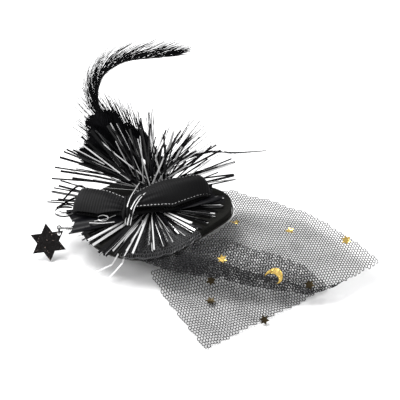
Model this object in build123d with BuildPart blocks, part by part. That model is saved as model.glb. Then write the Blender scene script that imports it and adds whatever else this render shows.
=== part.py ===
"""Fascinator headpiece: a felt teardrop on a spring hair clip, dressed with a
ribbon bow, foil tinsel, feathers, a net veil and a dangling six-point star.

Millimetres.  +X runs along the base towards the veil, +Y to the back, +Z up.
The origin is under the middle of the base, on the surface that the closed
clip stands on.
"""
from build123d import *
import math
import os

os.makedirs("parts", exist_ok=True)

# ---------------------------------------------------------------- base sizes
# A blunt teardrop: a wide round end to the left, a narrower tip to the right.
base_length = 65.0
base_width = 52.0
base_tip_width = 26.0
base_turn = 15.0
backing_thickness = 1.0
board_thickness = 1.6
cover_thickness = 1.2
cover_edge_round = 0.5
piping_radius = 0.4
touch_gap = 0.05

# ---------------------------------------------------------------- clip sizes
clip_length = 46.0
clip_width = 9.0
clip_height = 9.0
clip_sheet = 0.8
hinge_x = -5.0
pin_radius = 0.9
pin_running_gap = 0.05
pin_fixed_gap = 0.02
pin_head_radius = 1.5
pin_head_thickness = 0.5
ear_radius = 1.9
ear_side_gap = 0.15
jaw_start_x = 3.0
jaw_rise_x = 13.0
jaw_reach = 22.0
jaw_mouth_gap = 0.25
tooth_pitch = 2.0
tooth_depth = 1.0
spring_wire_radius = 0.35
spring_coil_radius = 1.9
spring_turns = 3.5
spring_side_gap = 0.3
spring_leg = 12.0

# ----------------------------------------------------------------- bow sizes
ribbon_width = 15.0
ribbon_thickness = 0.5
knot_x = -12.0
knot_y = -4.0
knot_width = 5.5
knot_length = 13.0
knot_height = 6.4
pinch_width = 8.0
pinch_height = 3.6
loop_clearance = 0.3
left_loop_length = 23.0
left_loop_height = 5.2
left_loop_tip_width = 14.5
left_loop_heading = 168.0
right_loop_length = 36.0
right_loop_height = 7.2
right_loop_tip_width = 7.0
right_loop_heading = 19.0

# -------------------------------------------------------------- tinsel sizes
strand_width = 1.2
strand_thickness = 0.12
garland_x = -3.0
garland_y = 2.0
garland_radius = 4.0
garland_wire_radius = 0.45
low_tier_rise = 0.3
tier_gap = 0.8
tier_reach = 33.0
tier_reach_swing = 10.0
tier_longest_heading = 185.0
tier_first_heading = 166.0
tier_last_heading = 368.0
tier_strands = 15
pendant_sector_start = 194.0
pendant_sector_end = 228.0
pendant_sector_reach = 36.0
fan_strands = 12
fan_side_reach = 40.0
fan_middle_dip = 12.0

# ------------------------------------------------------------- feather sizes
fan_root_x = -3.0
fan_root_y = 13.0
fan_lean = 15.0
fan_layer_gap = 1.1
feather_thickness = 0.3
quill_start = 2.6
binding_radius = 1.0
shaft_radius = 0.35
wisp_width = 0.5

# ---------------------------------------------------------------- veil sizes
veil_thickness = 0.5
veil_base_gap = 0.4
top_layer_profile = [(-15, 12.0), (30, 9.2), (60, 5.2), (92, 8.6)]
bottom_layer_profile = [(-72, 0.0), (-40, 0.0), (-27, 4.1), (-13, 8.2)]
gather_thickness = 0.2
confetti_radius = 2.2
moon_radius = 3.6
moon_thickest = 2.0
moon_turn = -129.0
confetti_thickness = 0.15
confetti_lift = 0.1

# ------------------------------------------------------------- pendant sizes
pendant_radius = 8.0
pendant_thickness = 0.8
pendant_tilt = 38.0
pendant_turn = 37.5
pendant_floor_gap = 0.25
pendant_centre_x = -45.8
pendant_centre_y = -13.2
pendant_hole_inset = 2.2
pendant_hole_radius = 0.75
ring_radius = 1.3
ring_wire_radius = 0.25
eye_radius = 0.75
stem_radius = 0.25

# ------------------------------------------------------------ worked-out sizes
backing_top = clip_height + backing_thickness
board_top = backing_top + board_thickness
base_top = board_top + cover_thickness
round_radius = base_width / 2
tip_radius = base_tip_width / 2


def point_at(heading, distance):
    """Flat point at a heading in degrees and a distance from the centre."""
    turn = math.radians(heading)
    return (distance * math.cos(turn), distance * math.sin(turn))


def steps(first, last, count):
    """Evenly spaced values from first to last."""
    return [first + (last - first) * i / (count - 1) for i in range(count)]


def star_points(tips, outer, inner, first_tip):
    """Corners of a star, tip and valley in turn."""
    corners = []
    for i in range(2 * tips):
        radius = outer if i % 2 == 0 else inner
        corners.append(point_at(first_tip + i * 180 / tips, radius))
    return corners


# ----------------------------------------------------------------- felt base
round_centre = point_at(base_turn + 180, base_length / 2 - round_radius)
tip_centre = point_at(base_turn, base_length / 2 - tip_radius)


def base_outline(grow=0.0):
    """The base's plan outline, grown outwards by a distance."""
    with BuildSketch() as outline:
        with Locations(round_centre):
            Circle(round_radius + grow)
        with Locations(tip_centre):
            Circle(tip_radius + grow)
        make_hull()
    return outline.sketch


full_outline = base_outline()
with BuildPart() as base_backing:
    with BuildSketch(Plane.XY.offset(clip_height)):
        add(full_outline)
    extrude(amount=backing_thickness)
base_backing.part.label = "base_backing"
export_step(base_backing.part, "parts/base_backing.step")

board_outline = base_outline(-cover_thickness - touch_gap)
with BuildPart() as base_board:
    with BuildSketch(Plane.XY.offset(backing_top)):
        add(board_outline)
    extrude(amount=board_thickness)
base_board.part.label = "base_board"
export_step(base_board.part, "parts/base_board.step")

cover_hollow = base_outline(-cover_thickness)
with BuildPart() as base_cover:
    with BuildSketch(Plane.XY.offset(backing_top)):
        add(full_outline)
    extrude(amount=base_top - backing_top)
    fillet(base_cover.edges().group_by(Axis.Z)[-1], radius=cover_edge_round)
    with BuildSketch(Plane.XY.offset(backing_top)):
        add(cover_hollow)
    extrude(amount=board_thickness, mode=Mode.SUBTRACT)
base_cover.part.label = "base_cover"
export_step(base_cover.part, "parts/base_cover.step")

piping_outline = base_outline(piping_radius + touch_gap)
piping_path = piping_outline.face().outer_wire().moved(Location((0, 0, backing_top)))
with BuildPart() as rim_piping:
    for run in piping_path.edges():
        with BuildSketch(Plane(origin=run @ 0, z_dir=run % 0)):
            Circle(piping_radius)
        sweep(path=run)
rim_piping.part.label = "rim_piping"
export_step(rim_piping.part, "parts/rim_piping.step")

# ----------------------------------------------------------------- hair clip
upper_arm_bottom = clip_height - clip_sheet
hinge_height = clip_height / 2
upper_ear_y = clip_width / 2 - clip_sheet - ear_side_gap
clip_back_x = -clip_length / 2
hinge_plane = Plane(origin=(hinge_x, 0, hinge_height), x_dir=(1, 0, 0), z_dir=(0, -1, 0))


def ear_pair(outer_face, reach_up):
    """Two upright ears about the hinge, from an arm's sheet to a round end."""
    with BuildPart() as ears:
        for side in (-1, 1):
            with BuildSketch(hinge_plane.offset(side * (outer_face - clip_sheet / 2))):
                Circle(ear_radius)
                with Locations((0, reach_up / 2)):
                    Rectangle(2 * ear_radius, abs(reach_up))
            extrude(amount=clip_sheet / 2, both=True)
    return ears.part


upper_ears = ear_pair(upper_ear_y, upper_arm_bottom + touch_gap - hinge_height)
lower_ears = ear_pair(clip_width / 2, -hinge_height)

with BuildPart() as clip_upper_arm:
    with BuildSketch(Plane.XY.offset(upper_arm_bottom)):
        SlotOverall(clip_length, clip_width)
    extrude(amount=clip_sheet)
    add(upper_ears)
    with BuildSketch(hinge_plane):
        Circle(pin_radius + pin_fixed_gap)
    extrude(amount=clip_width, both=True, mode=Mode.SUBTRACT)
clip_upper_arm.part.label = "clip_upper_arm"
export_step(clip_upper_arm.part, "parts/clip_upper_arm.step")

mouth_height = upper_arm_bottom - jaw_mouth_gap
tooth_count = int((jaw_reach - jaw_start_x) / tooth_pitch)
jaw_edge = []
for i in range(tooth_count):
    jaw_edge.append((jaw_start_x + i * tooth_pitch, mouth_height - tooth_depth))
    jaw_edge.append((jaw_start_x + (i + 1) * tooth_pitch, mouth_height))
jaw_end_x = jaw_edge[-1][0]
with BuildPart() as clip_lower_arm:
    with BuildSketch(Plane.XZ):
        with BuildLine():
            Polyline(
                (clip_back_x, 0),
                (jaw_rise_x, 0),
                (jaw_end_x, mouth_height - clip_sheet),
                (jaw_end_x, mouth_height),
                (jaw_rise_x - clip_sheet / 2, clip_sheet),
                (clip_back_x, clip_sheet),
                close=True,
            )
        make_face()
    extrude(amount=clip_width / 2, both=True)
    for side in (-1, 1):
        wall_plane = Plane.XZ.offset(side * (clip_width - clip_sheet) / 2)
        with BuildSketch(wall_plane):
            with BuildLine():
                Polyline(
                    (jaw_start_x - tooth_pitch, 0),
                    *jaw_edge,
                    (jaw_rise_x, 0),
                    close=True,
                )
            make_face()
        extrude(amount=clip_sheet / 2, both=True)
    add(lower_ears)
    with BuildSketch(hinge_plane):
        Circle(pin_radius + pin_running_gap)
    extrude(amount=clip_width, both=True, mode=Mode.SUBTRACT)
clip_lower_arm.part.label = "clip_lower_arm"
export_step(clip_lower_arm.part, "parts/clip_lower_arm.step")

pin_half_length = clip_width / 2 + ear_side_gap
with BuildPart() as clip_pin:
    with BuildSketch(hinge_plane):
        Circle(pin_radius)
    extrude(amount=pin_half_length, both=True)
    for side in (-1, 1):
        with BuildSketch(hinge_plane.offset(side * pin_half_length)):
            Circle(pin_head_radius)
        extrude(amount=side * pin_head_thickness)
clip_pin.part.label = "clip_pin"
export_step(clip_pin.part, "parts/clip_pin.step")

# The coil winds about the pin.  Both legs leave it towards the handles and
# lean apart until they meet the two arms.
leg_room = upper_arm_bottom - spring_wire_radius - touch_gap - hinge_height - spring_coil_radius
leg_lean = math.degrees(math.asin(leg_room / spring_leg))
coil_height = 2 * (upper_ear_y - clip_sheet - spring_wire_radius - spring_side_gap)
spring_pitch = coil_height / spring_turns
coil_plane = Plane(
    origin=(hinge_x, -coil_height / 2, hinge_height),
    x_dir=(math.sin(math.radians(leg_lean)), 0, math.cos(math.radians(leg_lean))),
    z_dir=(0, 1, 0),
)
coil_turns_now = spring_turns - 2 * leg_lean / 360
coil_path = coil_plane.location * Edge.make_helix(
    spring_pitch, coil_turns_now * spring_pitch, spring_coil_radius
)
with BuildPart() as clip_spring:
    with BuildLine():
        add(coil_path)
    with BuildSketch(Plane(origin=coil_path @ 0, z_dir=coil_path % 0)):
        Circle(spring_wire_radius)
    sweep()
    with BuildSketch(Plane(origin=coil_path @ 0, z_dir=(coil_path % 0) * -1)):
        Circle(spring_wire_radius)
    extrude(amount=spring_leg)
    with BuildSketch(Plane(origin=coil_path @ 1, z_dir=coil_path % 1)):
        Circle(spring_wire_radius)
    extrude(amount=spring_leg)
clip_spring.part.label = "clip_spring"
export_step(clip_spring.part, "parts/clip_spring.step")

# ---------------------------------------------------------------- ribbon bow
high_tier_top = base_top + low_tier_rise + tier_gap + strand_thickness
knot_bottom = high_tier_top + loop_clearance
tail_bottom = knot_bottom + ribbon_thickness + touch_gap
loop_bottom = tail_bottom + ribbon_thickness + loop_clearance
knot_top = knot_bottom + knot_height


def ribbon_loop(heading, length, height, tip_width):
    """A closed ribbon loop that leaves the knot and folds back on itself."""
    turn = math.radians(heading)
    along = (math.cos(turn), math.sin(turn), 0)
    across = (math.sin(turn), -math.cos(turn), 0)
    side_plane = Plane(origin=(knot_x, knot_y, 0), x_dir=along, z_dir=across)
    plan_plane = Plane(origin=(knot_x, knot_y, 0), x_dir=along, z_dir=(0, 0, 1))
    fold_radius = height / 2
    middle = loop_bottom + fold_radius
    fold_start = length - fold_radius
    root = pinch_width / 2 * abs(math.sin(turn)) + loop_clearance
    with BuildPart() as loop:
        with BuildSketch(side_plane):
            with BuildLine():
                Polyline(
                    (fold_start, middle + fold_radius),
                    (root, loop_bottom + pinch_height),
                    (root, loop_bottom),
                    (fold_start, loop_bottom),
                )
                ThreePointArc(
                    (fold_start, loop_bottom),
                    (length, middle),
                    (fold_start, middle + fold_radius),
                )
            make_face()
            offset(amount=-ribbon_thickness, mode=Mode.SUBTRACT)
        extrude(amount=ribbon_width, both=True)
        with BuildSketch(plan_plane):
            with BuildLine():
                Polyline(
                    (0, -pinch_width / 2),
                    (knot_width / 2, -pinch_width / 2),
                    (length / 2, -ribbon_width / 2),
                    (length, -tip_width / 2),
                    (length, tip_width / 2),
                    (length / 2, ribbon_width / 2),
                    (knot_width / 2, pinch_width / 2),
                    (0, pinch_width / 2),
                    close=True,
                )
            make_face()
        extrude(amount=loop_bottom + height + ribbon_width, mode=Mode.INTERSECT)
    return loop.part


bow_loop_left = ribbon_loop(left_loop_heading, left_loop_length, left_loop_height, left_loop_tip_width)
bow_loop_left.label = "bow_loop_left"
export_step(bow_loop_left, "parts/bow_loop_left.step")

bow_loop_right = ribbon_loop(right_loop_heading, right_loop_length, right_loop_height, right_loop_tip_width)
bow_loop_right.label = "bow_loop_right"
export_step(bow_loop_right, "parts/bow_loop_right.step")

knot_round = 1.6
with BuildPart() as bow_knot:
    with BuildSketch(Plane.YZ.offset(knot_x)):
        with Locations((knot_y, (knot_bottom + knot_top) / 2)):
            RectangleRounded(knot_length, knot_height, knot_round)
            RectangleRounded(
                knot_length - 2 * ribbon_thickness,
                knot_height - 2 * ribbon_thickness,
                knot_round - ribbon_thickness,
                mode=Mode.SUBTRACT,
            )
    extrude(amount=knot_width / 2, both=True)
bow_knot.part.label = "bow_knot"
export_step(bow_knot.part, "parts/bow_knot.step")

tail_root = loop_clearance
knot_exit = knot_width / 2 + loop_clearance
tail_near = knot_y - pinch_width / 2
with BuildPart() as bow_tail_left:
    with BuildSketch(Plane.XY.offset(tail_bottom)):
        with BuildLine():
            Polyline(
                (knot_x - tail_root, knot_y + 1.5),
                (-24, -4.5),
                (-38.5, -5),
                (-35, -10.5),
                (-33.7, -15.5),
                (-24, -15.5),
                (knot_x - knot_exit, tail_near),
                (knot_x - tail_root, tail_near),
                close=True,
            )
        make_face()
    extrude(amount=ribbon_thickness)
bow_tail_left.part.label = "bow_tail_left"
export_step(bow_tail_left.part, "parts/bow_tail_left.step")

with BuildPart() as bow_tail_right:
    with BuildSketch(Plane.XY.offset(tail_bottom)):
        with BuildLine():
            Polyline(
                (knot_x + tail_root, tail_near),
                (knot_x + knot_exit, tail_near),
                (2, -5),
                (21, -3),
                (25, 4),
                (18, 8),
                (knot_x + knot_exit, knot_y + pinch_width / 2),
                (knot_x + tail_root, knot_y + pinch_width / 2),
                close=True,
            )
        make_face()
    extrude(amount=ribbon_thickness)
bow_tail_right.part.label = "bow_tail_right"
export_step(bow_tail_right.part, "parts/bow_tail_right.step")


# -------------------------------------------------------------------- tinsel
def strand_group(plane, strands, width):
    """Flat strips on a plane, each from an inner radius to its reach."""
    with BuildPart() as group:
        with BuildSketch(plane):
            for heading, inner, reach in strands:
                with Locations(point_at(heading, (inner + reach) / 2)):
                    Rectangle(reach - inner, width, rotation=heading)
        extrude(amount=strand_thickness)
    return group.part


def tier_strand_list(first, last, count, longer):
    """Headings and reaches of one flat tier, longest to the left."""
    strands = []
    for i, heading in enumerate(steps(first, last, count)):
        swing = math.cos(math.radians(heading - tier_longest_heading))
        uneven = longer if i % 2 == 0 else -longer
        reach = tier_reach + tier_reach_swing * swing + uneven
        if pendant_sector_start < heading < pendant_sector_end:
            reach = min(reach, pendant_sector_reach)
        strands.append((heading, garland_radius + 1.2 * strand_width, reach))
    return strands


garland_origin = (garland_x, garland_y, base_top + low_tier_rise)
with BuildPart() as garland_core:
    with BuildLine(Plane(origin=(garland_x, garland_y, base_top + garland_wire_radius + gather_thickness))):
        CenterArc((0, 0), garland_radius, 0, 360)
    with BuildSketch(Plane.XZ.offset(-garland_y)):
        with Locations((garland_x + garland_radius, base_top + garland_wire_radius + gather_thickness)):
            Circle(garland_wire_radius)
    sweep()
garland_core.part.label = "garland_core"
export_step(garland_core.part, "parts/garland_core.step")

low_plane = Plane(origin=garland_origin)
high_plane = low_plane.offset(tier_gap)
half_step = (tier_last_heading - tier_first_heading) / (tier_strands - 1) / 2

tinsel_low_tier = strand_group(
    low_plane, tier_strand_list(tier_first_heading, tier_last_heading, tier_strands, 2), strand_width
)
tinsel_low_tier.label = "tinsel_low_tier"
export_step(tinsel_low_tier, "parts/tinsel_low_tier.step")

tinsel_high_tier = strand_group(
    high_plane,
    tier_strand_list(tier_first_heading + half_step, tier_last_heading - half_step, tier_strands - 1, 3),
    strand_width,
)
tinsel_high_tier.label = "tinsel_high_tier"
export_step(tinsel_high_tier, "parts/tinsel_high_tier.step")


def fan_plane(layer):
    """Plane of one layer of the upright fan, counted from the front."""
    lean = math.radians(fan_lean)
    return Plane(
        origin=(fan_root_x, fan_root_y + layer * fan_layer_gap, base_top),
        x_dir=(1, 0, 0),
        z_dir=(0, -math.cos(lean), math.sin(lean)),
    )


def fan_strand_list(first, last, count):
    """Headings and reaches of one upright fan, shortest in the middle."""
    strands = []
    for i, heading in enumerate(steps(first, last, count)):
        dip = fan_middle_dip * math.sin(math.radians(heading)) ** 2
        uneven = 1.5 if i % 2 == 0 else -1.5
        strands.append((heading, 7.0, fan_side_reach - dip + uneven))
    return strands


tinsel_fan_front = strand_group(fan_plane(0), fan_strand_list(18, 162, fan_strands), strand_width)
tinsel_fan_front.label = "tinsel_fan_front"
export_step(tinsel_fan_front, "parts/tinsel_fan_front.step")

tinsel_fan_rear = strand_group(fan_plane(1), fan_strand_list(24, 156, fan_strands), strand_width)
tinsel_fan_rear.label = "tinsel_fan_rear"
export_step(tinsel_fan_rear, "parts/tinsel_fan_rear.step")

# Two long strands slip out under the front rim and rest on the surface.
drop_strand_ends = [
    ((-15.5, -27.4, 8.2), (-29.0, -26.6, 0.4)),
    ((-13.0, -28.0, 8.2), (-21.4, -31.0, 0.4)),
]
drop_strand_width = 0.8
with BuildPart() as tinsel_drop_strands:
    for top_end, low_end in drop_strand_ends:
        run = Vector(low_end) - Vector(top_end)
        with BuildSketch(Plane(origin=top_end, z_dir=run)):
            Rectangle(strand_thickness, drop_strand_width)
        extrude(amount=run.length)
tinsel_drop_strands.part.label = "tinsel_drop_strands"
export_step(tinsel_drop_strands.part, "parts/tinsel_drop_strands.step")


# ------------------------------------------------------------------ feathers
def fan_point(heading, along, across):
    """Point on a fan layer, measured along and across a feather."""
    x, y = point_at(heading, along)
    side_x, side_y = point_at(heading + 90, across)
    return (x + side_x, y + side_y)


def feather_pad(layer, heading, length, width):
    """A trimmed feather: narrow at the quill, broad and blunt at the tip."""
    shoulder = length - width / 2
    with BuildPart() as pad:
        with BuildSketch(fan_plane(layer)):
            with BuildLine():
                Line(fan_point(heading, quill_start, -0.6), fan_point(heading, quill_start, 0.6))
                Spline(
                    fan_point(heading, quill_start, 0.6),
                    fan_point(heading, length * 0.45, width * 0.42),
                    fan_point(heading, shoulder, width / 2),
                )
                ThreePointArc(
                    fan_point(heading, shoulder, width / 2),
                    fan_point(heading, length, 0),
                    fan_point(heading, shoulder, -width / 2),
                )
                Spline(
                    fan_point(heading, shoulder, -width / 2),
                    fan_point(heading, length * 0.45, -width * 0.42),
                    fan_point(heading, quill_start, -0.6),
                )
            make_face()
        extrude(amount=feather_thickness)
    return pad.part


feather_pads = {
    "feather_pad_low": (2, 149, 38, 8),
    "feather_pad_left": (3, 136, 38, 9),
    "feather_pad_tall": (4, 119, 44, 12),
    "feather_pad_right": (5, 108, 32, 11),
}
for pad_name, (layer, heading, length, width) in feather_pads.items():
    feather = feather_pad(layer, heading, length, width)
    feather.label = pad_name
    export_step(feather, f"parts/{pad_name}.step")

with BuildPart() as plume_vane:
    with BuildSketch(fan_plane(6)):
        with BuildLine():
            outer_edge = Spline(
                (-16, 26), (-25.5, 31), (-26.5, 40), (-23, 50), (-15, 58.5), (-4, 62.5), (8, 63), (18, 61.3)
            )
            inner_edge = Spline(
                (18, 61.3), (8, 58.6), (-4, 56), (-12.5, 51.5), (-18, 44.5), (-19.5, 37.5), (-16, 26)
            )
        make_face()
    extrude(amount=feather_thickness)
plume_vane.part.label = "plume_vane"
export_step(plume_vane.part, "parts/plume_vane.step")

shaft_route = [(0, quill_start), (-20, 30.5), (-24, 44), (-12, 56), (17, 60.5)]
with BuildPart() as plume_shaft:
    with BuildLine(fan_plane(7)) as shaft_line:
        FilletPolyline(*shaft_route, radius=[40, 12, 25])
    with BuildSketch(Plane(origin=shaft_line.line @ 0, z_dir=shaft_line.line % 0)):
        Circle(shaft_radius)
    sweep()
plume_shaft.part.label = "plume_shaft"
export_step(plume_shaft.part, "parts/plume_shaft.step")

left_wisps = [(138, 30, 50), (132, 31, 53), (127, 32, 56), (122, 33, 54)]
hackle_left = strand_group(fan_plane(8), left_wisps, wisp_width)
hackle_left.label = "hackle_left"
export_step(hackle_left, "parts/hackle_left.step")

right_wisps = [(88, 8, 37), (73, 8, 33), (60, 8, 34), (52, 8, 37), (45, 8, 37), (38, 8, 39), (30, 8, 39)]
hackle_right = strand_group(fan_plane(9), right_wisps, wisp_width)
hackle_right.label = "hackle_right"
export_step(hackle_right, "parts/hackle_right.step")

herl_route = [(1, quill_start), (13, 10), (28, 12.2), (47, 12.8)]
with BuildPart() as feather_herl:
    with BuildLine(fan_plane(10)) as herl_line:
        FilletPolyline(*herl_route, radius=[60, 35])
    with BuildSketch(Plane(origin=herl_line.line @ 0, z_dir=herl_line.line % 0)):
        Circle(wisp_width / 2)
    sweep()
feather_herl.part.label = "feather_herl"
export_step(feather_herl.part, "parts/feather_herl.step")

binding_length = 10 * fan_layer_gap
with BuildPart() as quill_binding:
    with BuildSketch(Plane.XZ.offset(-fan_root_y)):
        with Locations((fan_root_x, base_top + binding_radius + touch_gap)):
            Circle(binding_radius)
    extrude(amount=-binding_length)
quill_binding.part.label = "quill_binding"
export_step(quill_binding.part, "parts/quill_binding.step")


# ------------------------------------------------------------------ net veil
def height_on(profile, distance):
    """Height of a profile of straight runs at a distance along it."""
    for (start, low), (end, high) in zip(profile, profile[1:]):
        if start <= distance <= end:
            return low + (high - low) * (distance - start) / (end - start)
    raise ValueError("distance is off the profile")


def net_sheet(profile_plane, profile, outline):
    """A thin sheet that follows a side profile, cut to a plan outline."""
    raised = [(distance, height + veil_thickness) for distance, height in reversed(profile)]
    reach = 2 * (base_length + base_width)
    with BuildPart() as sheet:
        with BuildSketch(profile_plane):
            with BuildLine():
                Polyline(*profile, *raised, close=True)
            make_face()
        extrude(amount=reach, both=True)
        with BuildSketch(Plane.XY):
            with BuildLine():
                Polyline(*outline, close=True)
            make_face()
        extrude(amount=reach, mode=Mode.INTERSECT)
    return sheet.part


top_outline = [
    (0, 0), (22, 17), (33, 18.5), (49, 14.5), (62, 10), (73, -2), (82, -14), (90, -27), (81, -33),
    (72, -40), (62, -43), (50, -41), (34, -40), (18, -36), (3, -33.5), (-11, -28),
]
bite = 2 * piping_radius + touch_gap + veil_base_gap
bitten_outline = base_outline(bite)
with BuildPart() as veil_top_layer:
    add(net_sheet(Plane.XZ, top_layer_profile, top_outline))
    with BuildSketch(Plane.XY):
        add(bitten_outline)
    extrude(amount=base_top + clip_height, mode=Mode.SUBTRACT)
veil_top_layer.part.label = "veil_top_layer"
export_step(veil_top_layer.part, "parts/veil_top_layer.step")

bottom_outline = [(-9, -14), (-8, -19), (20, -68), (69, -35), (60, -26), (30, -14)]
veil_bottom_layer = net_sheet(Plane.YZ, bottom_layer_profile, bottom_outline)
veil_bottom_layer.label = "veil_bottom_layer"
export_step(veil_bottom_layer, "parts/veil_bottom_layer.step")

# The net's gathered edge lies glued along the front of the base.
gather_depth = 9.0
gather_span = 28.0
gather_outer = base_outline(-cover_edge_round)
gather_inner = base_outline(-gather_depth)
with BuildPart() as veil_gather:
    with BuildSketch(Plane.XY.offset(base_top + touch_gap)):
        add(gather_outer)
        add(gather_inner, mode=Mode.SUBTRACT)
        with Locations((0, round_centre[1] - round_radius)):
            Rectangle(gather_span, round_radius, mode=Mode.INTERSECT)
    extrude(amount=gather_thickness)
veil_gather.part.label = "veil_gather"
export_step(veil_gather.part, "parts/veil_gather.step")


def confetti_plane(x, y, on_top_layer):
    """Plane that lies on the net at a point, tilted as the net is there."""
    if not on_top_layer:
        rest = height_on(bottom_layer_profile, y + confetti_radius)
        return Plane(origin=(x, y, rest + veil_thickness + confetti_lift))
    low = height_on(top_layer_profile, x - confetti_radius)
    high = height_on(top_layer_profile, x + confetti_radius)
    slope = (high - low) / (2 * confetti_radius)
    middle = (low + high) / 2 + veil_thickness + confetti_lift
    return Plane(origin=(x, y, middle), x_dir=(1, 0, slope), z_dir=(-slope, 0, 1))


def confetti_group(places):
    """Five-point foil stars, each at (x, y, turn, on the top layer)."""
    with BuildPart() as group:
        for x, y, turn, on_top_layer in places:
            with BuildSketch(confetti_plane(x, y, on_top_layer)):
                with BuildLine():
                    Polyline(*star_points(5, confetti_radius, confetti_radius * 0.42, turn), close=True)
                make_face()
            extrude(amount=confetti_thickness)
    return group.part


off_rim = point_at(-32, tip_radius + bite + confetti_radius)
beside_rim = (tip_centre[0] + off_rim[0], tip_centre[1] + off_rim[1])
gold_places = [(79.5, -14.5, 10, True), (56, -6, 55, True), (*beside_rim, 30, True), (27, -28, 70, True)]
confetti_gold = confetti_group(gold_places)
confetti_gold.label = "confetti_gold_stars"
export_step(confetti_gold, "parts/confetti_gold_stars.step")

dark_places = [(20.8, -40.5, 80, False), (43, -51.5, 20, False), (22.5, -34, 50, False), (61.5, -38.5, 15, True)]
confetti_dark = confetti_group(dark_places)
confetti_dark.label = "confetti_dark_stars"
export_step(confetti_dark, "parts/confetti_dark_stars.step")

with BuildPart() as confetti_moon:
    with BuildSketch(confetti_plane(47.5, -36, True)):
        Circle(moon_radius)
        with Locations(point_at(moon_turn, moon_radius - moon_thickest / 2)):
            Circle(moon_radius - moon_thickest / 2, mode=Mode.SUBTRACT)
    extrude(amount=confetti_thickness)
confetti_moon.part.label = "confetti_moon"
export_step(confetti_moon.part, "parts/confetti_moon.step")

# -------------------------------------------------------------- star pendant
# The star leans back on one tip.  Its plane holds +X and the leaning "up".
tilt = math.radians(pendant_tilt)
star_up = Vector(0, math.sin(tilt), math.cos(tilt))
star_face = Vector(0, -math.cos(tilt), math.sin(tilt))
lowest_tip_turn = min(math.sin(math.radians(pendant_turn + 60 * i)) for i in range(6))
star_drop = -pendant_radius * lowest_tip_turn * star_up.Z + pendant_thickness / 2 * star_face.Z
star_centre = Vector(pendant_centre_x, pendant_centre_y, star_drop + pendant_floor_gap)
star_plane = Plane(origin=star_centre, x_dir=(1, 0, 0), z_dir=star_face)
hole_point = point_at(pendant_turn, pendant_radius - pendant_hole_inset)
with BuildPart() as pendant_star:
    with BuildSketch(star_plane):
        with BuildLine():
            Polyline(*star_points(6, pendant_radius, pendant_radius / math.sqrt(3), pendant_turn), close=True)
        make_face()
        with Locations(hole_point):
            Circle(pendant_hole_radius, mode=Mode.SUBTRACT)
    extrude(amount=pendant_thickness / 2, both=True)
pendant_star.part.label = "pendant_star"
export_step(pendant_star.part, "parts/pendant_star.step")

# The jump ring stands across the hole, so the star swings round the ring.
hole_centre = star_plane.from_local_coords(Vector(hole_point[0], hole_point[1], 0))
ring_centre = hole_centre + star_up * ring_radius
ring_plane = Plane(origin=ring_centre, x_dir=star_up, z_dir=(1, 0, 0))


def wire_ring(plane, radius, wire_radius):
    """A closed ring of round wire that lies in a plane."""
    with BuildPart() as ring:
        with BuildLine(plane):
            CenterArc((0, 0), radius, 0, 360)
        with BuildSketch(Plane(origin=plane.origin + plane.x_dir * radius, z_dir=plane.y_dir)):
            Circle(wire_radius)
        sweep()
    return ring.part


pendant_ring = wire_ring(ring_plane, ring_radius, ring_wire_radius)
pendant_ring.label = "pendant_ring"
export_step(pendant_ring, "parts/pendant_ring.step")

# The stem ends in an eye round the top of the ring.
eye_centre = ring_centre + star_up * ring_radius
eye_plane = Plane(origin=eye_centre, x_dir=(1, 0, 0), z_dir=star_face)
stem_y = eye_centre.Y - 1.5
stem_wall_x = round_centre[0] - math.sqrt(round_radius**2 - (stem_y - round_centre[1]) ** 2)
stem_end = Vector(stem_wall_x - touch_gap * 3, stem_y, board_top)
with BuildPart() as pendant_stem:
    add(wire_ring(eye_plane, eye_radius, stem_radius))
    stem_start = eye_centre + Vector(eye_radius, 0, 0)
    stem_run = stem_end - stem_start
    with BuildSketch(Plane(origin=stem_start, z_dir=stem_run)):
        Circle(stem_radius)
    extrude(amount=stem_run.length)
pendant_stem.part.label = "pendant_stem"
export_step(pendant_stem.part, "parts/pendant_stem.step")

print("star swing axis through", ring_centre, "along +X")
print("clip hinge axis through", (hinge_x, 0, hinge_height), "along +Y")
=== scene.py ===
# %% [markdown]
# # A black fascinator: felt base, bow, tinsel, feathers, star-flecked net and a star charm
# The metal clip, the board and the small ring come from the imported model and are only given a
# finish here. Everything soft is modelled in this lesson, around that model, and rides on it.

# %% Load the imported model
import math

import bpy
import numpy as np
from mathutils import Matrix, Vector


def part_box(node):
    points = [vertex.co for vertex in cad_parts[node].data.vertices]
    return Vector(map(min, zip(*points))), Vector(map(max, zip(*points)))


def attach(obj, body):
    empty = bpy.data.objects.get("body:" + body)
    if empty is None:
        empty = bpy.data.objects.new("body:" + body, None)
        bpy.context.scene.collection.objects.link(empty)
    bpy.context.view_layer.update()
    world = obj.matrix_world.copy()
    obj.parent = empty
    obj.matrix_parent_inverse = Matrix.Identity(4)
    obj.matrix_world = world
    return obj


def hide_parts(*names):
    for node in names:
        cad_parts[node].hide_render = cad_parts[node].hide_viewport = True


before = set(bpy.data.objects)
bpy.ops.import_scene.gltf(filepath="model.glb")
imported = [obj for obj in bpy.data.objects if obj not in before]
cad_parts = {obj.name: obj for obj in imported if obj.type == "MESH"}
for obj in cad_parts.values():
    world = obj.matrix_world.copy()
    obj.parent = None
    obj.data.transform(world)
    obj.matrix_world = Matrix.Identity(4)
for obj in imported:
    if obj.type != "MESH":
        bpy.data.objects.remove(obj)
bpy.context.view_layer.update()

MM = 0.001

# %% [markdown]
# ## Camera, floor and light
# A small accessory is sold on a white sweep under a big soft light. The camera stands well back
# with a long lens, so that nothing in the piece looks stretched, and looks down on it.

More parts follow.
